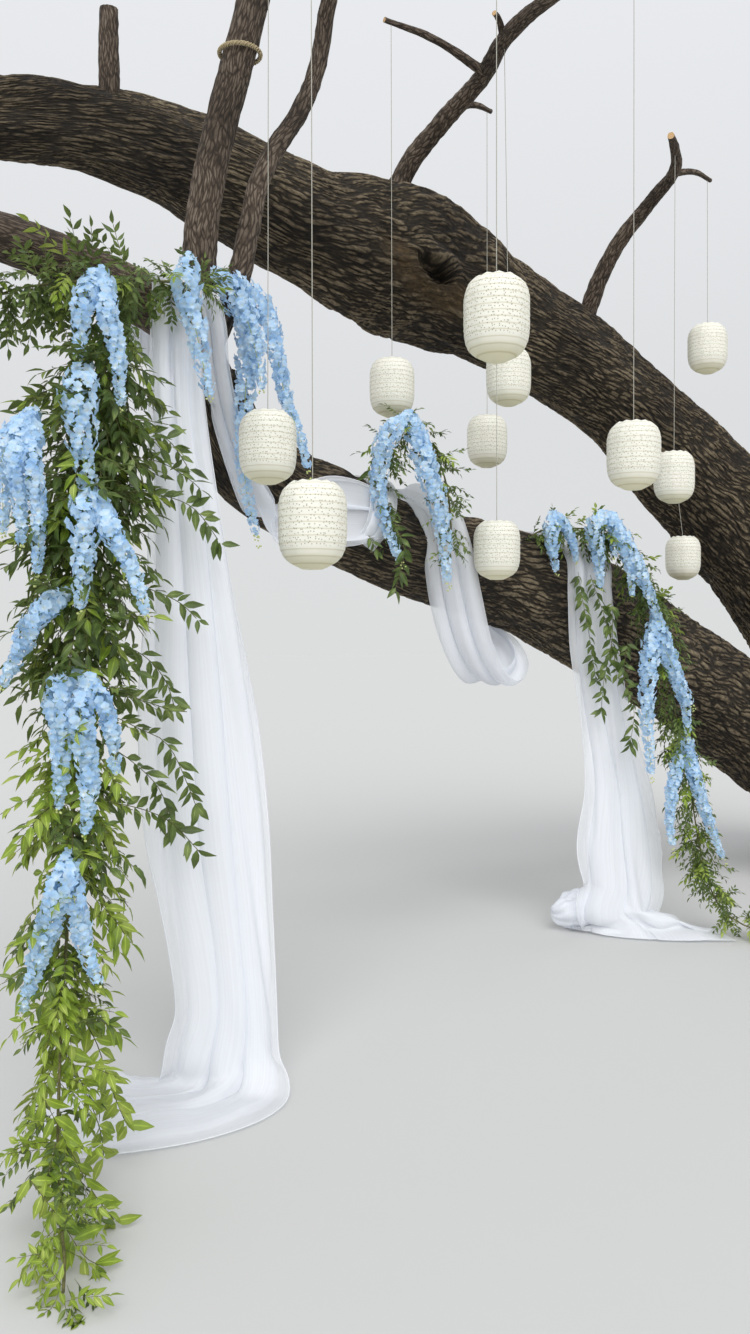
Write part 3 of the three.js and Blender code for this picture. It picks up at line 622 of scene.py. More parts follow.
# The wrap winds round the lower limb from behind its top down the front: the turn of each row in degrees, the
# step of x and z from row to row, half the width at both ends and the depth of the folds
WRAP_CENTRE = (-4262, 846, 2046)
WRAP_RADIUS = 234
WRAP_TURN = range(62, 219, 26)
WRAP_STEP = (-40, 9)
WRAP_WIDTH = (96, 74)
WRAP_DEPTH = 8


def chiffon_material():
    """White polyester chiffon: fine threads that scatter light and let the rest straight through. It is sheer
    near its selvedges, closes where it hangs several times over itself, and has a narrow rolled hem. The
    threads are drawn coarse enough to show."""
    made, node = material("sheer_chiffon")
    weave = node("UVMap", uv_map="UVMap")
    across = node("SeparateXYZ", {0: weave}, 1)
    middle = node("Math", {0: across, 1: 0.5}, operation="SUBTRACT")
    off = node("Math", {0: middle}, operation="ABSOLUTE")
    broad = node("VectorMath", {0: weave, 1: (5.0, 2.0, 1.0)}, operation="MULTIPLY")
    wander = node("TexNoise", {"Vector": broad, "Scale": 1.0, "Detail": 1.0})
    edge = node("Math", {0: wander, 1: 0.2, 2: off}, operation="MULTIPLY_ADD")
    span = {"Value": edge, "From Min": 0.44, "From Max": 0.57, "To Min": 0.74, "To Max": 0.42}
    closed = node("MapRange", span, **EASED)
    threads = node("VectorMath", {0: weave, 1: (2.0, 140.0, 1.0)}, operation="MULTIPLY")
    streaks = node("TexNoise", {"Vector": threads, "Scale": 1.0, "Detail": 2.0})
    thin = node("Math", {0: streaks, 1: -0.14, 2: closed}, operation="MULTIPLY_ADD")
    spread = node("Math", {0: thin, 1: 0.07}, operation="ADD")
    hem = node("Math", {0: off, 1: 0.489}, operation="GREATER_THAN")
    rolled = node("Math", {0: hem, 1: 0.8}, operation="MULTIPLY")
    cover = node("Math", {0: spread, 1: rolled}, operation="MAXIMUM")
    look = {"Base Color": linear("#fcfdff"), "Roughness": 0.7, "Sheen Weight": 0.3, "IOR": 1.5}
    dress(made, look, glow=(0.42, "#f6f9ff"))
    surface = made.node_tree.nodes["Material Output"].inputs["Surface"]
    cloth = surface.links[0].from_socket
    clear = node("BsdfTransparent")
    feed(surface.node, {"Surface": node("MixShader", {0: cover, 1: clear, 2: cloth})})
    return made


CHIFFON = chiffon_material()
CLOTH_THICKNESS = 0.8 * MM
# How far over the bark a cloth lies, and how thickly it lies on the ground where it is soft and where pressed
CLOTH_OVER_BARK = 9 * MM
SOFT_HEIGHT = 24 * MM
PRESSED_HEIGHT = 3 * MM


def settle(piece, grip_height, frames=22):
    """Lets a drape hang by its own weight and spread on the ground, held fast above a height."""
    places = points(piece.data)
    held = piece.vertex_groups.new(name="held")
    steady = np.clip((places[:, 2] - grip_height * MM) / 0.25, 0.0, 1.0) * 0.9 + 0.1
    for i, weight in enumerate(steady):
        held.add([i], float(weight), "REPLACE")
    plane = {"size": 12, "location": (-4, 0, -2 * MM)}
    ground = start_piece(bpy.ops.mesh.primitive_plane_add, "ground", **plane)
    ground.modifiers.new("ground", "COLLISION")
    ground.collision.thickness_outer = 2 * MM
    choose(piece)
    cloth = piece.modifiers.new("cloth", "CLOTH")
    fabric = {
        "quality": 5, "mass": 0.08, "tension_stiffness": 12, "compression_stiffness": 12,
        "shear_stiffness": 6, "bending_stiffness": 0.3, "air_damping": 2.5,
        "vertex_group_mass": "held", "pin_stiffness": 0.4,
    }
    for key, value in fabric.items():
        setattr(cloth.settings, key, value)
    cloth.collision_settings.distance_min = 4 * MM
    cloth.collision_settings.use_self_collision = False
    for frame_number in range(1, frames + 1):
        bpy.context.scene.frame_set(frame_number)
    bpy.ops.object.modifier_apply(modifier="cloth")
    bpy.data.objects.remove(ground)
    bpy.context.scene.frame_set(1)
    piece.vertex_groups.clear()


def fit_over(piece, *timbers):
    """Lays the cloth on the bark wherever it would sink in."""
    for timber in timbers:
        apply_modifier(
            piece, "SHRINKWRAP", target=bpy.data.objects[timber], wrap_method="NEAREST_SURFACEPOINT",
            wrap_mode="OUTSIDE", offset=CLOTH_OVER_BARK,
        )


def bunch(piece, middle, size, degrees):
    """Adds the bunched-up end of a cloth, a soft knob that sits on the ground."""
    knob = start_piece(bpy.ops.mesh.primitive_ico_sphere_add, "knob", subdivisions=5, radius=1)
    ball = points(knob.data)
    turn = np.arctan2(ball[:, 1], ball[:, 2])
    folds = 0.13 * np.sin(3 * turn + 2.4 * ball[:, 0]) + 0.08 * np.sin(8 * turn - 5 * ball[:, 0] + 1)
    creases = 0.07 * np.abs(np.sin(5 * ball[:, 0] + 3 * np.sin(2 * turn) + 2)) ** 0.6
    swell = 1 + folds * (0.7 + 0.3 * ball[:, 0]) - creases + 0.1 * np.sin(3 * ball[:, 0] + 2 * ball[:, 1])
    lump = ball * swell[:, None] * np.array(size) * MM
    face = math.radians(degrees)
    spun = np.column_stack([
        lump[:, 0] * math.cos(face) - lump[:, 1] * math.sin(face),
        lump[:, 0] * math.sin(face) + lump[:, 1] * math.cos(face), lump[:, 2],
    ])
    set_points(knob.data, spun + np.array(middle) * MM)
    corners = np.empty(len(knob.data.loops), int)
    knob.data.loops.foreach_get("vertex_index", corners)
    flat = np.column_stack([turn / 6, 0.5 + 0.2 * ball[:, 0]])[corners]
    knob.data.uv_layers[0].data.foreach_set("uv", flat.ravel())
    joined(knob, piece)


def puff(piece, flat, lumps):
    """Lifts soft lumps in the cloth that lies on the ground, but not its hems: for each lump its place, reach
    and height."""
    places = points(piece.data)
    lying = np.clip((140 * MM - places[:, 2]) / (80 * MM), 0, 1)
    hems = np.minimum(6 * np.minimum(flat[:, 1], 1 - flat[:, 1]), 25 * (1 - flat[:, 0]))
    for x, y, reach, height in lumps:
        gap = np.hypot(places[:, 0] - x * MM, places[:, 1] - y * MM) / (reach * MM)
        places[:, 2] += height * MM * np.exp(-(gap**2)) * lying * np.clip(hems, 0, 1)
    set_points(piece.data, places)


def on_ground(piece):
    """Rests the cloth on the ground, pressed ever flatter the lower it would lie."""
    places = points(piece.data)
    low = places[:, 2] < SOFT_HEIGHT
    depth = SOFT_HEIGHT - PRESSED_HEIGHT
    places[low, 2] = PRESSED_HEIGHT + depth * np.exp((places[low, 2] - SOFT_HEIGHT) / depth)
    set_points(piece.data, places)


def drape(name, rows, pleats, rests_on, node_name, seed, columns, grip_height=None):
    """One chiffon sheet: pleated, hung by its weight if it has a height to hold it above, laid over timbers
    and on the ground, and given its thickness. flat is the size that it was cut to."""
    piece, laid = gathered(name, rows, pleats, columns, seed)
    if grip_height:
        settle(piece, grip_height)
    fit_over(piece, *(timber + "_bark" for timber in rests_on))
    puff(piece, laid, PUFFS.get(name, []))
    apply_modifier(piece, "SMOOTH", factor=0.5, iterations=7)
    if name == "right_chiffon":
        bunch(piece, *RIGHT_KNOB)
    on_ground(piece)
    apply_modifier(piece, "SOLIDIFY", thickness=CLOTH_THICKNESS, offset=0, use_even_offset=False)
    shade_smooth(piece)
    piece.data.materials.append(CHIFFON)
    finish_piece(piece, node_name)


def wrap_rows():
    """The rows of the cloth that winds round the lower limb."""
    rows = []
    x, y, z = WRAP_CENTRE
    for i, degrees in enumerate(WRAP_TURN):
        turn = math.radians(degrees)
        wide = WRAP_WIDTH[0] + (WRAP_WIDTH[1] - WRAP_WIDTH[0]) * i / (len(WRAP_TURN) - 1)
        out, up = WRAP_RADIUS * math.cos(turn), WRAP_RADIUS * math.sin(turn)
        rows.append((x + WRAP_STEP[0] * i, y + out, z + WRAP_STEP[1] * i + up, wide, WRAP_DEPTH, 0, 0))
    return rows


drape("left_chiffon", LEFT_DRAPE, 3.4, ["left_branch"], "left_drape", 1, 84, 2500)
drape("right_chiffon", RIGHT_DRAPE, 3.4, ["lower_limb"], "right_drape", 2, 84, 1700)
drape("swag_chiffon", SWAG_DRAPE, 2.6, ["lower_limb"], "swag_drape", 3, 60)
drape("link_chiffon", LINK_DRAPE, 2.4, ["left_branch", "lower_limb"], "link_drape", 4, 40)
drape("wrap_chiffon", wrap_rows(), 2.6, ["lower_limb"], "limb_wrap_drape", 5, 48)

# Lanterns: the centre of each shade and its turn in degrees
LANTERNS = {
    1: ((-5250, 400, 2260), 0), 2: ((-5580, -220, 1900), 20), 3: ((-5075, -530, 2570), 10),
    4: ((-3760, 440, 2790), 30), 5: ((-3400, 860, 2590), 0), 6: ((-3925, 380, 1960), 15),
    7: ((-4042, -400, 2280), 5), 8: ((-2720, 160, 2400), 25), 9: ((-1809, 607, 2054), 0),
    10: ((-2300, 190, 3160), 12), 11: ((-4187, 792, 2726), 8),
}
SHADE_HEIGHT = 270
SHADE_RADIUS = 105
# Outside of the shade, from the closed foot to the open mouth, as radius and height
SHADE_OUTLINE = [
    (8, 0), (30, 0.5), (37, 3), (58, 13), (78, 26), (90, 40), (98, 58), (102, 74), (104, 92), (105, 115),
    (105, 140), (105, 165), (105, 190), (103, 208), (99, 224), (92, 240), (82, 252), (70, 262), (62, 268),
]
SHADE_PANELS = 10
SHADE_THICKNESS = 1.6
# How far the mouth's edge dips between two panels, how far apart the wire hoops and the eyelets are, and how
# far the nylon is pulled in between hoops
MOUTH_DIP = 5
RIB_PITCH = 20
EYELET_PITCH = 12
RIB_DEPTH = 0.7
# How far the panels bulge out between their seams, as a share of the radius
PANEL_BULGE = 0.012
# The wire in a shade: half the width of its loop and of its yoke, and its radius
WIRE_LOOP = 9
WIRE_YOKE = 56
WIRE_RADIUS = 1.1


def nylon_material():
    """White nylon on wire hoops, pierced with small scattered eyelets drawn as darker dots, painted shade of
    the dim inside seen through them. The nylon lets light glow through, and a fine painted shadow line shows
    over each hoop. It is plain round the foot and the mouth, and warmer towards the foot, painted bounce
    light from the ground."""
    made, node = material("pierced_nylon")
    place = node("Attribute", output="Vector", attribute_name="unrolled")
    height = node("SeparateXYZ", {0: place}, 1)
    eyelet = node(
        "TexVoronoi", {"Vector": place, "Scale": 1 / (EYELET_PITCH * MM), "Randomness": 0.9},
        feature="F1", voronoi_dimensions="2D",
    )
    cloth = node("MapRange", {"Value": eyelet, "From Min": 0.1, "From Max": 0.22}, **EASED)
    lifted = node("Math", {0: height, 1: 0.02}, operation="SUBTRACT")
    middle = node("Math", {0: lifted}, operation="ABSOLUTE")
    plain = node("MapRange", {"Value": middle, "From Min": 0.085, "From Max": 0.095}, **EASED)
    pierced = node("Math", {0: cloth, 1: plain}, operation="MAXIMUM")
    rise = node("MapRange", {"Value": height, "From Min": -0.135, "From Max": -0.07}, **EASED)
    # Painted bounce light: the nylon is tinted warmer towards the foot, as if lit from the ground below
    painted_ground_bounce = node("ValToRGB", {0: rise}, stops=[(0.0, "#f8f4d6"), (1.0, "#fdfcf4")])
    # Painted shade: darker dots where the eyelets show the dim inside
    eyelet_shade_dots = node("ValToRGB", {0: pierced}, stops=[(0.0, "#a3a08f"), (1.0, "#ffffff")])
    hoop = node("Math", {0: height, 1: 2 * math.pi / (RIB_PITCH * MM)}, operation="MULTIPLY")
    crest = node("Math", {0: hoop}, operation="COSINE")
    # Painted shadow: a thin darker line over each wire hoop
    band = node("ValToRGB", {0: crest}, stops=[(0.0, "#ffffff"), (0.7, "#ffffff"), (1.0, "#e2dfd0")])
    dotted = node("Mix", {0: 1.0, 6: painted_ground_bounce, 7: eyelet_shade_dots}, 2, **TINT)
    colour = node("Mix", {0: 1.0, 6: dotted, 7: band}, 2, **TINT)
    look = {"Base Color": colour, "Roughness": 0.55, "IOR": 1.53}
    return dress(made, look, (pierced, 0.4, 0.5 * MM), (0.3, "#fbf9ec"))


def wire_material():
    """Galvanised steel wire: dull grey with a soft glint and a faint spangle."""
    made, node = material("galvanised_wire")
    place = node("TexCoord", output="Object")
    spangle = node("TexNoise", {"Vector": place, "Scale": 400.0})
    tone = node("ValToRGB", {0: spangle}, stops=[(0.3, "#8d8f90"), (0.7, "#b9bbbc")])
    return dress(made, {"Base Color": tone, "Metallic": 1.0, "Roughness": 0.42})


def turned(name, outline, sides):
    """A round shell rolled up from a grid, with one ring of points for each point of the outline."""
    radius, height = np.array(outline).T * MM
    grid = {"x_subdivisions": sides, "y_subdivisions": len(outline) - 1, "size": 1}
    piece = start_piece(bpy.ops.mesh.primitive_grid_add, name, **grid)
    flat = points(piece.data) + 0.5
    turn, ring = 2 * math.pi * flat[:, 0], np.rint(flat[:, 1] * (len(outline) - 1)).astype(int)
    rolled = (radius[ring] * np.cos(turn), radius[ring] * np.sin(turn), height[ring])
    set_points(piece.data, np.column_stack(rolled))
    edit(piece, (bpy.ops.mesh.remove_doubles, {"threshold": 0.1 * MM}))
    return piece


def shade_outline(count=42):
    """The outline drawn finely, pulled in a little between the wire hoops."""
    table, _ = stations([(radius, height, 0) for radius, height in SHADE_OUTLINE], count)
    ribs = RIB_DEPTH * np.cos(2 * math.pi * table[:, 1] / RIB_PITCH) * (table[:, 0] > 40)
    return [(radius + rib, height) for (radius, height, _), rib in zip(table, ribs)]


def unroll(piece, places):
    """Keeps where each point lies on the shade when it is cut open and laid flat, for the eyelets."""
    mesh = piece.data
    corners, faces = np.empty(len(mesh.loops), int), np.empty(len(mesh.polygons), int)
    mesh.loops.foreach_get("vertex_index", corners)
    mesh.polygons.foreach_get("loop_total", faces)
    owner = np.repeat(np.arange(len(faces)), faces)
    turn = np.arctan2(places[:, 1], places[:, 0])[corners]
    middle = np.arctan2(np.bincount(owner, np.sin(turn)), np.bincount(owner, np.cos(turn)))[owner]
    turn += 2 * math.pi * np.round((middle - turn) / (2 * math.pi))
    flat = np.column_stack([turn * SHADE_RADIUS * MM, places[corners, 2], np.zeros(len(turn))])
    mesh.attributes.new("unrolled", "FLOAT_VECTOR", "CORNER").data.foreach_set("vector", flat.ravel())


def lantern_template():
    """One shade: panels sewn over hoops, with a closed foot and a mouth whose edge dips between panels."""
    piece = turned("shade", shade_outline(), 4 * SHADE_PANELS)
    edit(piece, CLOSE_HOLES, picked=lambda face: face.center.z < 1 * MM)
    edit(piece, FACE_OUT)
    places = points(piece.data)
    turn = np.arctan2(places[:, 1], places[:, 0])
    reach = np.hypot(places[:, 0], places[:, 1])
    facet = 1 + PANEL_BULGE * np.cos(SHADE_PANELS * turn) * np.clip((reach - 0.04) / 0.04, 0, 1)
    near_mouth = np.clip((places[:, 2] - places[:, 2].max() + 0.03) / 0.03, 0, 1)
    places[:, :2] *= facet[:, None]
    places[:, 2] -= MOUTH_DIP * MM * (1 - np.cos(SHADE_PANELS * turn)) / 2 * near_mouth
    set_points(piece.data, places)
    apply_modifier(piece, "SOLIDIFY", thickness=SHADE_THICKNESS * MM, offset=-1)
    places = points(piece.data) - np.array([0, 0, SHADE_HEIGHT / 2 * MM])
    set_points(piece.data, places)
    unroll(piece, places)
    shade_smooth(piece)
    piece.data.materials.append(NYLON)
    return piece


def tube_along(name, line, radius, sides=6):
    """A thin round bar along a line of points."""
    curve = bpy.data.curves.new(name, "CURVE")
    curve.dimensions = "3D"
    curve.bevel_depth = radius * MM
    curve.bevel_resolution = max(0, sides // 2 - 2)
    curve.use_fill_caps = True
    spline = curve.splines.new("POLY")
    spline.points.add(len(line) - 1)
    for point, place in zip(spline.points, line):
        point.co = (*(Vector(place) * MM), 1)
    choose(link_object(name, curve))
    bpy.ops.object.convert(target="MESH")
    return bpy.context.object


def expander_wire():
    """The bent wire inside a shade that spreads it: up from a loop at the foot to a yoke under the mouth."""
    half = SHADE_HEIGHT / 2
    side = [(WIRE_YOKE, half - 6), (WIRE_YOKE, half - 16), (WIRE_LOOP, half - 17), (WIRE_LOOP, 12 - half)]
    line = [(-x, 0, z) for x, z in side] + [(x, 0, z) for x, z in side[::-1]]
    wire = tube_along("wire", line, WIRE_RADIUS)
    wire.data.materials.append(WIRE)
    return wire


NYLON = nylon_material()
WIRE = wire_material()
shade_model = lantern_template()
wire_model = expander_wire()
for number, (centre, degrees) in LANTERNS.items():
    name = f"nylon_lantern_{number}"
    part = joined(*(link_object(name, model.data.copy()) for model in (wire_model, shade_model)))
    part.name = name
    turn = Matrix.Rotation(math.radians(degrees), 4, "Z")
    part.data.transform(Matrix.Translation(Vector(centre) * MM) @ turn)
    finish_piece(part, f"lantern_{number}")
for model in (shade_model, wire_model):
    bpy.data.objects.remove(model)


def cord_material(name, dark, pale, pitch, roughness):
    """Laid cord: strands that wind round, with painted shade where they meet."""
    made, node = material(name)
    place = node("TexCoord", output="Object")
    lay = node("Mapping", {"Vector": place, "Rotation": (0.5, 0.6, 0.0)})
    strands = node(
        "TexWave", {"Vector": lay, "Scale": 0.3 / pitch, "Distortion": 0.6, "Detail": 2.0}, "Fac",
        wave_type="BANDS", bands_direction="Z",
    )
    # The dark stop is painted shade in the grooves between the strands
    tone = node("ValToRGB", {0: strands}, stops=[(0.1, dark), (0.7, pale)])
    return dress(made, {"Base Color": tone, "Roughness": roughness}, (strands, 0.5, pitch / 6))


STRING = cord_material("twisted_string", "#77746a", "#c3c0b3", 2 * MM, 0.5)
ROPE = cord_material("laid_rope", "#7d6f52", "#b9a987", 5 * MM, 0.9)
for name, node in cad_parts.items():
    if name.startswith("lantern_cord"):
        node.data.materials.clear()
        node.data.materials.append(STRING)

# Rope tied round the left stem: the ring's radius, the strands' radius, how often they wind round each other
# and how many points draw one
ROPE_RING = 76
STRAND = 4.6
ROPE_TURNS = 13
ROPE_POINTS = 157


def rope_tie():
    """Three strands laid round each other in a ring."""
    low, high = (Vector(corner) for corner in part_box("rope_tie"))
    centre = (low + high) / 2 / MM
    strands = []
    for strand in range(3):
        line = []
        for i in range(ROPE_POINTS):
            turn = 2 * math.pi * i / (ROPE_POINTS - 1)
            lay = ROPE_TURNS * turn + 2 * math.pi * strand / 3
            reach = ROPE_RING + STRAND * math.cos(lay)
            offset = (reach * math.cos(turn), reach * math.sin(turn), STRAND * math.sin(lay))
            line.append(centre + Vector(offset))
        strands.append(tube_along("laid_rope_tie", line, STRAND))
    piece = joined(*strands)
    piece.data.materials.append(ROPE)
    shade_smooth(piece)
    finish_piece(piece, "rope_tie")


rope_tie()

# Garlands: each row is a point of the vine and how far the leaves reach round it
GARLANDS = {
    "left_garland_top": [
        (-5450, 520, 2830, 60), (-5640, 360, 2760, 92), (-5820, 400, 2740, 120), (-6020, 470, 2700, 140),
        (-6200, 560, 2640, 120), (-6330, 560, 2480, 70),
    ],
    "left_garland_upper": [
        (-5900, 390, 2640, 90), (-5940, 390, 2480, 165), (-6000, 360, 2200, 195), (-6060, 300, 1860, 190),
        (-6100, 250, 1600, 178), (-6130, 205, 1380, 150),
    ],
    "left_garland_lower": [
        (-6125, 215, 1400, 130), (-6165, 160, 1160, 165), (-6205, 110, 900, 160), (-6260, 50, 600, 140),
        (-6325, -40, 320, 128), (-6395, -170, 135, 112), (-6460, -320, 80, 76), (-6530, -440, 48, 38),
    ],
    "centre_garland": [
        (-4410, 620, 1990, 50), (-4400, 625, 2130, 82), (-4385, 650, 2300, 92), (-4330, 670, 2460, 88),
        (-4230, 650, 2535, 84), (-4150, 590, 2450, 80), (-4125, 515, 2270, 78), (-4130, 480, 2080, 72),
        (-4140, 470, 1930, 44),
    ],
    "right_garland_upper": [
        (-3390, 620, 2050, 54), (-3300, 590, 2110, 84), (-3160, 530, 2130, 100), (-3010, 420, 2110, 104),
        (-2880, 330, 1990, 108), (-2800, 265, 1800, 112), (-2765, 215, 1600, 112), (-2748, 185, 1420, 92),
    ],
    "right_garland_lower": [
        (-2750, 188, 1440, 84), (-2735, 165, 1260, 108), (-2700, 130, 1020, 116), (-2655, 95, 720, 110),
        (-2615, 60, 420, 108), (-2590, -10, 190, 98), (-2540, -110, 90, 78), (-2470, -220, 46, 38),
    ],
}
# How many sprigs each garland has, and the share of them with the lighter yellow-green leaves, painted
# sunlight on the lower leaves
SPRIGS = {
    "left_garland_top": (180, 0.1), "left_garland_upper": (320, 0.1), "left_garland_lower": (210, 0.65),
    "centre_garland": (130, 0.1), "right_garland_upper": (220, 0.15), "right_garland_lower": (230, 0.25),
}
# Single wiry sprigs that trail away from a garland, over the cloth and along the ground
TRAILS = {
    "left_garland_upper": [
        [(-5909, 337, 2142), (-5796, 280, 2126), (-5715, 228, 2071), (-5679, 206, 2033)],
        [(-5958, 344, 2057), (-5830, 286, 2026), (-5711, 223, 1983), (-5629, 171, 1861)],
        [(-5963, 306, 1754), (-5836, 264, 1710), (-5750, 234, 1670), (-5698, 197, 1608)],
        [(-5952, 337, 2184), (-5841, 326, 2230), (-5760, 287, 2203), (-5704, 245, 2107)],
        [(-5974, 288, 1550), (-5868, 267, 1502), (-5795, 252, 1421), (-5765, 235, 1318)],
    ],
    "left_garland_lower": [
        [(-6038, 268, 1397), (-5896, 239, 1361), (-5791, 219, 1326), (-5734, 190, 1318)],
        [(-6059, 261, 1352), (-5901, 244, 1273), (-5795, 223, 1204), (-5716, 172, 987)],
        [(-6095, 226, 1070), (-5951, 209, 1038), (-5818, 190, 975), (-5722, 136, 854)],
        [(-6059, 261, 1260), (-5929, 244, 1175), (-5835, 221, 1074), (-5802, 202, 946)],
        [(-6253, 30, 556), (-6193, -1, 438), (-6148, -4, 300), (-6074, 22, 146)],
        [(-6302, -6, 468), (-6254, -53, 333), (-6204, -46, 206), (-6155, 17, 84)],
        [(-6374, -61, 345), (-6343, -134, 229), (-6297, -180, 112), (-6234, -187, 14)],
        [(-6473, -174, 213), (-6430, -245, 125), (-6392, -297, 40), (-6350, -340, 12)],
    ],
    "centre_garland": [
        [(-4450, 660, 2298), (-4528, 681, 2161), (-4511, 636, 2028), (-4474, 599, 1932)],
        [(-4402, 584, 2076), (-4394, 519, 1950), (-4412, 537, 1811), (-4431, 556, 1732)],
    ],
    "right_garland_upper": [
        [(-3134, 475, 1901), (-3150, 434, 1745), (-3124, 409, 1550), (-3099, 384, 1304)],
        [(-3090, 431, 1886), (-3077, 362, 1693), (-3045, 329, 1524), (-3032, 302, 1356)],
        [(-3045, 329, 1755), (-3062, 318, 1550), (-3091, 347, 1346), (-3102, 358, 1172)],
        [(-3004, 261, 1550), (-3036, 264, 1372), (-3000, 228, 1194), (-3018, 246, 991)],
    ],
}
# Wisteria: the point that each spray is wired on at, then its racemes. A raceme is the points from there to
# its tip, with its largest radius at the end.
SPRAYS = {
    "wisteria_left_1": ((-5965, 350, 2715), [
        ((-6070, 275, 2595), (-6080, 280, 2495), (-6080, 280, 2390), 55),
        ((-6025, 225, 2555), (-6000, 200, 2420), (-5990, 195, 2240), 48),
    ]),
    "wisteria_left_2": ((-6050, 320, 2390), [
        ((-6135, 195, 2245), (-6125, 185, 2095), (-6105, 165, 1930), 84),
    ]),
    "wisteria_left_3": ((-6180, 385, 2240), [
        ((-6315, 300, 2100), (-6315, 305, 1985), (-6315, 305, 1840), 55),
        ((-6315, 230, 2080), (-6305, 220, 1950), (-6300, 220, 1800), 42),
        ((-6280, 200, 2065), (-6265, 185, 1905), (-6270, 190, 1695), 40),
    ]),
    "wisteria_left_4": ((-6090, 210, 2000), [
        ((-6185, 75, 1890), (-6185, 75, 1775), (-6195, 85, 1615), 62),
        ((-6130, 20, 1860), (-6090, -15, 1765), (-6055, -55, 1600), 45),
    ]),
    "wisteria_left_5": ((-6165, 210, 1690), [
        ((-6265, 180, 1625), (-6305, 220, 1525), (-6345, 265, 1400), 48),
    ]),
    "wisteria_left_6": ((-6165, 160, 1450), [
        ((-6270, 80, 1395), (-6260, 65, 1270), (-6265, 70, 1060), 45),
        ((-6165, 10, 1380), (-6145, -10, 1285), (-6135, -15, 1160), 42),
        ((-6220, 25, 1315), (-6205, 10, 1145), (-6215, 20, 985), 50),
    ]),
    "wisteria_left_7": ((-6225, 80, 950), [
        ((-6320, -40, 885), (-6350, -10, 750), (-6400, 35, 535), 52),
        ((-6295, -70, 855), (-6275, -90, 735), (-6245, -120, 610), 45),
    ]),
    "wisteria_top_1": ((-5640, 340, 2840), [
        ((-5700, 270, 2705), (-5675, 245, 2555), (-5645, 210, 2330), 68),
    ]),
    "wisteria_top_2": ((-5325, 650, 2945), [
        ((-5285, 575, 2880), (-5240, 530, 2750), (-5215, 505, 2610), (-5200, 495, 2480), 84),
        ((-5215, 575, 2850), (-5220, 585, 2315), (-5215, 580, 2145), (-5175, 540, 1895), 66),
        ((-5170, 530, 2835), (-5110, 470, 2490), (-5070, 430, 2335), (-5040, 400, 2155), 48),
    ]),
    "wisteria_centre": ((-4250, 620, 2570), [
        ((-4435, 575, 2440), (-4465, 605, 2270), (-4450, 585, 2070), (-4385, 525, 1855), 66),
        ((-4265, 555, 2475), (-4230, 525, 2375), (-4205, 500, 2220), 50),
        ((-4280, 490, 2300), (-4240, 450, 2120), (-4210, 420, 1760), 80),
    ]),
    "wisteria_right_1": ((-3235, 560, 2200), [
        ((-3325, 505, 2095), (-3325, 495, 1990), (-3305, 480, 1870), 56),
        ((-3240, 495, 2150), (-3205, 460, 2050), (-3190, 445, 1930), 36),
    ]),
    "wisteria_right_2": ((-2950, 390, 2200), [
        ((-3110, 395, 2135), (-3095, 380, 2010), (-3085, 370, 1795), 66),
        ((-3025, 340, 2145), (-3020, 335, 2075), (-3020, 335, 1960), 44),
        ((-2990, 305, 2040), (-2960, 275, 1910), (-2955, 265, 1755), 42),
        ((-2945, 260, 1960), (-2895, 210, 1805), (-2850, 160, 1610), 64),
    ]),
    "wisteria_right_3": ((-2790, 230, 1690), [
        ((-2865, 150, 1550), (-2825, 110, 1420), (-2745, 30, 1180), 72),
        ((-2985, 155, 1400), (-2990, 160, 1120), (-2970, 140, 820), 68),
        ((-2795, 105, 1345), (-2760, 70, 1200), (-2750, 65, 1025), 50),
    ]),
    "wisteria_right_4": ((-2700, 120, 1050), [
        ((-2825, 110, 780), (-2835, 120, 615), (-2820, 105, 450), 48),
        ((-2735, 75, 1010), (-2725, 65, 905), (-2720, 60, 775), 46),
        ((-2735, 20, 805), (-2685, -30, 585), (-2630, -85, 395), 50),
    ]),
}


def leaf_material(name, dark, mid, light):
    """Printed polyester leaf: a satin face with a pale midrib, each leaf a little different."""
    made, node = material(name)
    place = node("TexCoord", output="Object")
    patches = node("TexNoise", {"Vector": place, "Scale": 16.0, "Detail": 2.0})
    tone = node("ValToRGB", {0: patches}, stops=[(0.3, dark), (0.5, mid), (0.72, light)])
    across = node("SeparateXYZ", {0: node("UVMap", uv_map="UVMap")}, 1)
    off_rib = node("Math", {0: across, 1: 0.5}, operation="SUBTRACT")
    gap = node("Math", {0: off_rib}, operation="ABSOLUTE")
    rib = node("ValToRGB", {0: gap}, stops=[(0.02, "#ffffff"), (0.09, "#b9bfae")])
    colour = node("Mix", {0: 1.0, 6: tone, 7: rib}, 2, **TINT)
    look = {"Base Color": colour, "Roughness": 0.5, "IOR": 1.45}
    return dress(made, look, (gap, 0.4, 1 * MM), (0.2, light))


def petal_material():
    """Dyed polyester silk: soft matt petals, paler at the throat and a deeper blue towards the edge."""
    made, node = material("blue_silk_petal")
    place = node("TexCoord", output="Object")
    along = node("SeparateXYZ", {0: node("UVMap", uv_map="UVMap")})
    colour = node("ValToRGB", {0: along}, stops=[(0.08, "#e9efdb"), (0.3, "#e6f3fc"), (1.0, "#c0e2fb")])
    patches = node("TexNoise", {"Vector": place, "Scale": 45.0, "Detail": 2.0})
    clumps = node("TexNoise", {"Vector": place, "Scale": 14.0, "Detail": 1.0})
    for noise, low, deep, high in ((patches, 0.35, "#d3e4f5", 0.62), (clumps, 0.35, "#dbe8f5", 0.6)):
        tint = node("ValToRGB", {0: noise}, stops=[(low, deep), (high, "#ffffff")])
        colour = node("Mix", {0: 1.0, 6: colour, 7: tint}, 2, **TINT)
    look = {"Base Color": colour, "Roughness": 0.7, "Sheen Weight": 0.2}
    return dress(made, look, (patches, 0.25, 1 * MM), (0.3, "#d2eafb"))


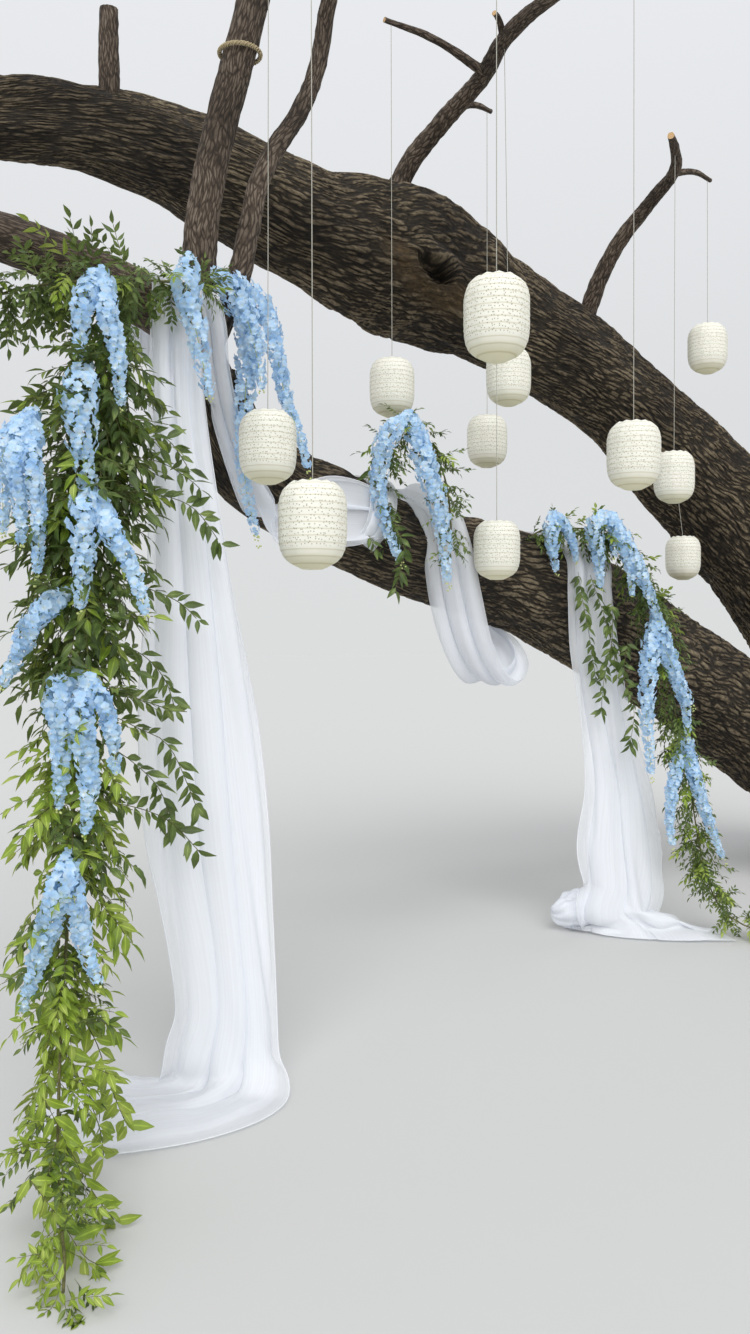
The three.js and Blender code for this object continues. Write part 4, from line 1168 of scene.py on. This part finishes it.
def plain_material(name, colours, scale, roughness):
    """A plain moulded or wrapped finish with a little mottling."""
    made, node = material(name)
    mottle = node("TexNoise", {"Vector": node("TexCoord", output="Object"), "Scale": scale, "Detail": 3.0})
    tone = node("ValToRGB", {0: mottle}, stops=[(0.35, colours[0]), (0.65, colours[1])])
    return dress(made, {"Base Color": tone, "Roughness": roughness}, (mottle, 0.3, 1 * MM))


LEAF = leaf_material("dark_silk_leaf", "#33451c", "#5c752f", "#a3b36c")
# A lighter yellow-green copy of the leaf for the leaves low down: painted sunlight
SUNLIT_LEAF = leaf_material("sunlit_silk_leaf", "#728f28", "#a6c03d", "#d5e17c")
PETAL = petal_material()
BUD = plain_material("moulded_bud", ("#a9b56a", "#d3d894"), 120.0, 0.6)
VINE = plain_material("taped_vine", ("#4b4a2b", "#6d6a3e"), 60.0, 0.8)


def blade(name, length, width, cup, curl, along, across, widest, roundness, finish):
    """A leaf or petal from its base at the origin out along +X, cupped across and curled down to its tip."""
    grid = {"x_subdivisions": along, "y_subdivisions": across, "size": 1}
    piece = start_piece(bpy.ops.mesh.primitive_grid_add, name, **grid)
    flat = points(piece.data) + 0.5
    t, c = flat[:, 0], 2 * flat[:, 1] - 1
    half = width / 2 * np.sin(math.pi * t**widest) ** roundness
    rise = cup * np.abs(c) * half - curl * length * t**2
    set_points(piece.data, np.column_stack([length * t, c * half, rise]) * MM)
    edit(piece, (bpy.ops.mesh.remove_doubles, {"threshold": 0.2 * MM}))
    shade_smooth(piece)
    piece.data.materials.append(finish)
    return piece


def facing(place, heading, upward, scale=1.0):
    """A matrix that puts a model at a place, its +X along the heading and its +Z as near upward as can be."""
    x = Vector(heading).normalized()
    y = Vector(upward).cross(x)
    y = y.normalized() if y.length > 1e-6 else x.orthogonal().normalized()
    z = x.cross(y)
    turn = Matrix((x, y, z)).transposed().to_4x4()
    return Matrix.Translation(Vector(place)) @ turn @ Matrix.Scale(scale, 4)


def planted(name, plants, used_up=()):
    """One piece joined from copies of models, each given as the model and its matrix. Models that are used up
    are removed."""
    copies = []
    for model, matrix in plants:
        copies.append(link_object(name, model.data))
        copies[-1].matrix_world = matrix
    copies[-1].data = copies[-1].data.copy()
    piece = joined(*copies)
    bpy.ops.object.transform_apply()
    piece.name = name
    for model in used_up:
        bpy.data.objects.remove(model)
    return piece


def wire_stem(line, radius, finish):
    """A thin stem along a line, as the first of a plant's models."""
    stalk = tube_along("stalk", line, radius, 4)
    stalk.data.materials.append(finish)
    return stalk, Matrix.Identity(4)


def sprig(name, length, pairs, leaf, draw):
    """A wiry stem that droops along +X with leaves in pairs and one at its tip."""
    def place(t):
        return Vector((length * t, 0, -0.18 * length * t * t))

    plants = [wire_stem([place(t) for t in (0, 0.33, 0.66, 1)], 1.3, VINE)]
    for pair in range(pairs + 1):
        base = place((pair + 0.7) / (pairs + 0.7)) * MM
        for side in (0,) if pair == pairs else (-1, 1):
            swing = math.radians(side * draw.uniform(32, 58))
            heading = (math.cos(swing), math.sin(swing), draw.uniform(-0.7, 0.35))
            up = (draw.uniform(-0.5, 0.5), draw.uniform(-0.5, 0.5), 1)
            plants.append((leaf, facing(base, heading, up, draw.uniform(0.75, 1.15))))
    return planted(name, plants, [plants[0][0]])


def trail(line, leaf, draw):
    """A wiry stem along a line, with leaves in pairs that hang out to each side."""
    table, length = stations(line, 60)
    plants = [wire_stem(table[::4], 1.4, VINE)]
    pairs = round(length / (LEAF_PITCH * MM))
    for pair in range(pairs):
        k = min(58, max(0, int(59 * (pair + draw.uniform(0.1, 0.9)) / pairs)))
        along = Vector(table[k + 1] - table[k]).normalized()
        side = along.cross(OUTWARD).normalized()
        side = Matrix.Rotation(draw.uniform(-0.7, 0.7), 3, along) @ side
        for way in (-1, 1):
            if draw.random() < FALLEN_LEAVES:
                continue
            heading = along * draw.uniform(0.3, 1.4) + side * way - UP * draw.uniform(-0.2, 0.8)
            up = OUTWARD + Vector([draw.uniform(-0.7, 0.7) for _ in range(3)])
            root = Vector(table[k]) * MM + along * draw.uniform(-12, 12) * MM
            plants.append((leaf, facing(root, heading, up, draw.uniform(0.7, 1.25))))
    return plants


def garland(name, draw):
    """A vine with sprigs all round it that droop towards their tips, and the sprigs that trail from it."""
    table, length = stations(GARLANDS[name], 240)
    count, sunlit_share = SPRIGS[name]
    vine = tube_along(name, table[::6, :3], 4)
    vine.data.materials.append(VINE)
    plants, stems = [(vine, Matrix.Identity(4))], [vine]
    weight = np.cumsum(table[:-1, 3])
    for _ in range(count):
        k = int(np.searchsorted(weight, draw.random() * weight[-1]))
        place, reach = Vector(table[k, :3]) * MM, table[k, 3]
        along = Vector(table[k + 1, :3] - table[k, :3]).normalized()
        radial = Vector([draw.gauss(0, 1) for _ in range(3)])
        radial = (radial - along * radial.dot(along)).normalized()
        heading = radial - UP * draw.uniform(0.0, 1.2) + along * draw.uniform(-0.3, 0.5)
        start = place + radial * reach * MM * draw.uniform(0, 0.45)
        size = min(1.1, max(0.5, reach * draw.uniform(0.8, 1.15) / SPRIG_LENGTH))
        model = draw.choice(SUNLIT_SPRIGS if draw.random() < sunlit_share else DARK_SPRIGS)
        up = radial + UP + Vector([draw.uniform(-0.6, 0.6) for _ in range(3)])
        plants.append((model, facing(start, heading, up, size)))
    for line in TRAILS.get(name, []):
        # Trails that reach near the ground get the lighter leaf, painted sunlight
        leaf = SUNLIT_LEAF_MODEL if min(point[2] for point in line) < 200 else LEAF_MODEL
        grown = trail(line, leaf, draw)
        plants += grown
        stems.append(grown[0][0])
    piece = planted(name + "_leaves", plants, stems)
    raise_to(piece, LEAF_OVER_GROUND * MM)
    finish_piece(piece, name)


def floret(name, scale, draw):
    """One flower that faces +Z: a banner petal that stands up along +Y, two wings and a keel."""
    plants = []
    wings = ((-15, 0.85, 0.45, WING), (195, 0.85, 0.45, WING), (-80, 0.75, 0.9, WING))
    for degrees, size, tilt, petal in ((90, 1.0, 0.15, BANNER), *wings):
        turn = math.radians(degrees + draw.uniform(-10, 10))
        heading = (math.cos(turn), math.sin(turn), tilt)
        plants.append((petal, facing((0, 0, 0), heading, (0, 0, 1), scale * size)))
    return planted(name, plants)


def plume(t):
    """A raceme's share of its largest radius, at a share of its length."""
    return min(1, 0.4 + 2.4 * t) * (1 - 0.8 * t * t)


def raceme(start, line, radius, draw):
    """Florets in whorls round a drooping stem, smaller towards the tip, with green buds at the end."""
    table, length = stations([start, *line], 80)
    plants = [wire_stem(table[::8], 1.5, BUD)]
    whorls = round(length / (WHORL_PITCH * MM))
    for whorl in range(whorls):
        t = (whorl + 0.6) / whorls
        k = min(78, int(79 * t))
        along = Vector(table[k + 1] - table[k]).normalized()
        side = along.orthogonal().normalized()
        swell = plume(t)
        number = 7 if swell > 0.85 else 6 if swell > 0.6 else 4
        for i in range(number):
            turn = 2 * math.pi * (i / number + 0.38 * whorl) + draw.uniform(-0.3, 0.3)
            radial = Matrix.Rotation(turn, 3, along) @ side
            place = Vector(table[k]) * MM + radial * radius * MM * swell * draw.uniform(0.35, 0.75)
            place += along * draw.uniform(-0.4, 0.4) * WHORL_PITCH * MM
            face = radial + along * draw.uniform(0.0, 0.9) + side * draw.uniform(-0.3, 0.3)
            model, size = (BUDS, 1.0) if t > 0.95 else (draw.choice(FLORETS), 0.55 + 0.5 * swell)
            plants.append((model, facing(place, -along.cross(face), face, size)))
    return plants


def spray(name, draw):
    """The racemes of one wisteria spray, all from one point."""
    start, racemes = SPRAYS[name]
    grown = [raceme(start, line, radius, draw) for *line, radius in racemes]
    piece = planted(name + "_florets", sum(grown, []), [plants[0][0] for plants in grown])
    finish_piece(piece, name)


draw = random.Random(SEED)
SPRIG_LENGTH = 190
LEAF_PITCH = 30
WHORL_PITCH = 21
# The share of leaves that a trailing sprig lacks, and how far over the ground the lowest leaves lie
FALLEN_LEAVES = 0.1
LEAF_OVER_GROUND = 2
LEAF_MODEL = blade("leaf", 62, 23, 0.35, 0.2, 4, 2, 0.8, 1.25, LEAF)
SUNLIT_LEAF_MODEL = blade("leaf", 72, 28, 0.35, 0.2, 4, 2, 0.8, 1.2, SUNLIT_LEAF)
DARK_SPRIGS = [sprig("dark_sprig", SPRIG_LENGTH, pairs, LEAF_MODEL, draw) for pairs in (4, 5, 6)]
SUNLIT_SPRIGS = [sprig("sunlit_sprig", SPRIG_LENGTH, pairs, SUNLIT_LEAF_MODEL, draw) for pairs in (4, 5)]
BANNER = blade("banner", 25, 31, 0.3, 0.25, 3, 3, 1.3, 0.5, PETAL)
WING = blade("wing", 22, 19, 0.4, 0.15, 2, 2, 1.3, 0.55, PETAL)
FLORETS = [floret(f"floret_{i}", scale, draw) for i, scale in enumerate((1.0, 1.12, 0.9))]
BUDS = start_piece(bpy.ops.mesh.primitive_ico_sphere_add, "bud", subdivisions=1, radius=4 * MM)
BUDS.data.materials.append(BUD)
for garland_name in GARLANDS:
    garland(garland_name, draw)
for spray_name in SPRAYS:
    spray(spray_name, draw)
for model in (LEAF_MODEL, SUNLIT_LEAF_MODEL, *DARK_SPRIGS, *SUNLIT_SPRIGS, BANNER, WING, *FLORETS, BUDS):
    bpy.data.objects.remove(model)


# The photograph's height, its focal length and the row of its horizon, in its pixels, and the place that it
# was taken from, in metres
FRAME_HEIGHT = 1334
FOCAL_LENGTH = 1050
HORIZON_ROW = 640
VIEWPOINT = (-7.7076, -2.6164, 1.55)


def studio():
    """A pale floor, soft light from the upper left and a level camera at eye height."""
    floor = start_piece(bpy.ops.mesh.primitive_plane_add, "floor", size=160)
    made, _ = material("studio_floor")
    floor.data.materials.append(dress(made, {"Base Color": linear("#c6c6c4"), "Roughness": 0.95}))

    world = bpy.data.worlds.new("studio")
    world.use_nodes = True
    sky = world.node_tree
    height = add(sky, "SeparateXYZ", {0: add(sky, "TexCoord", output="Generated")}, 2)
    glow = add(sky, "ValToRGB", {0: height}, stops=[(0.0, "#e1e3e3"), (0.2, "#e2e4e6"), (0.7, "#f4f6fa")])
    feed(sky.nodes["Background"], {"Color": glow, "Strength": 0.95})
    bpy.context.scene.world = world
    lamp = bpy.data.lights.new("soft_key", "SUN")
    lamp.energy = 2.0
    lamp.angle = math.radians(50)
    light = link_object("soft_key", lamp)
    light.rotation_euler = Vector((0.62, 0.72, -0.8)).to_track_quat("-Z", "Y").to_euler()

    camera = bpy.data.cameras.new("camera")
    camera.sensor_width = 36
    camera.lens = camera.sensor_width * FOCAL_LENGTH / FRAME_HEIGHT
    camera.shift_y = (HORIZON_ROW - FRAME_HEIGHT / 2) / FRAME_HEIGHT
    eye = link_object("camera", camera)
    eye.location = VIEWPOINT
    eye.rotation_euler = (math.radians(90), 0, math.radians(-45))
    bpy.context.scene.camera = eye
    bpy.context.scene.view_settings.view_transform = "Standard"


studio()
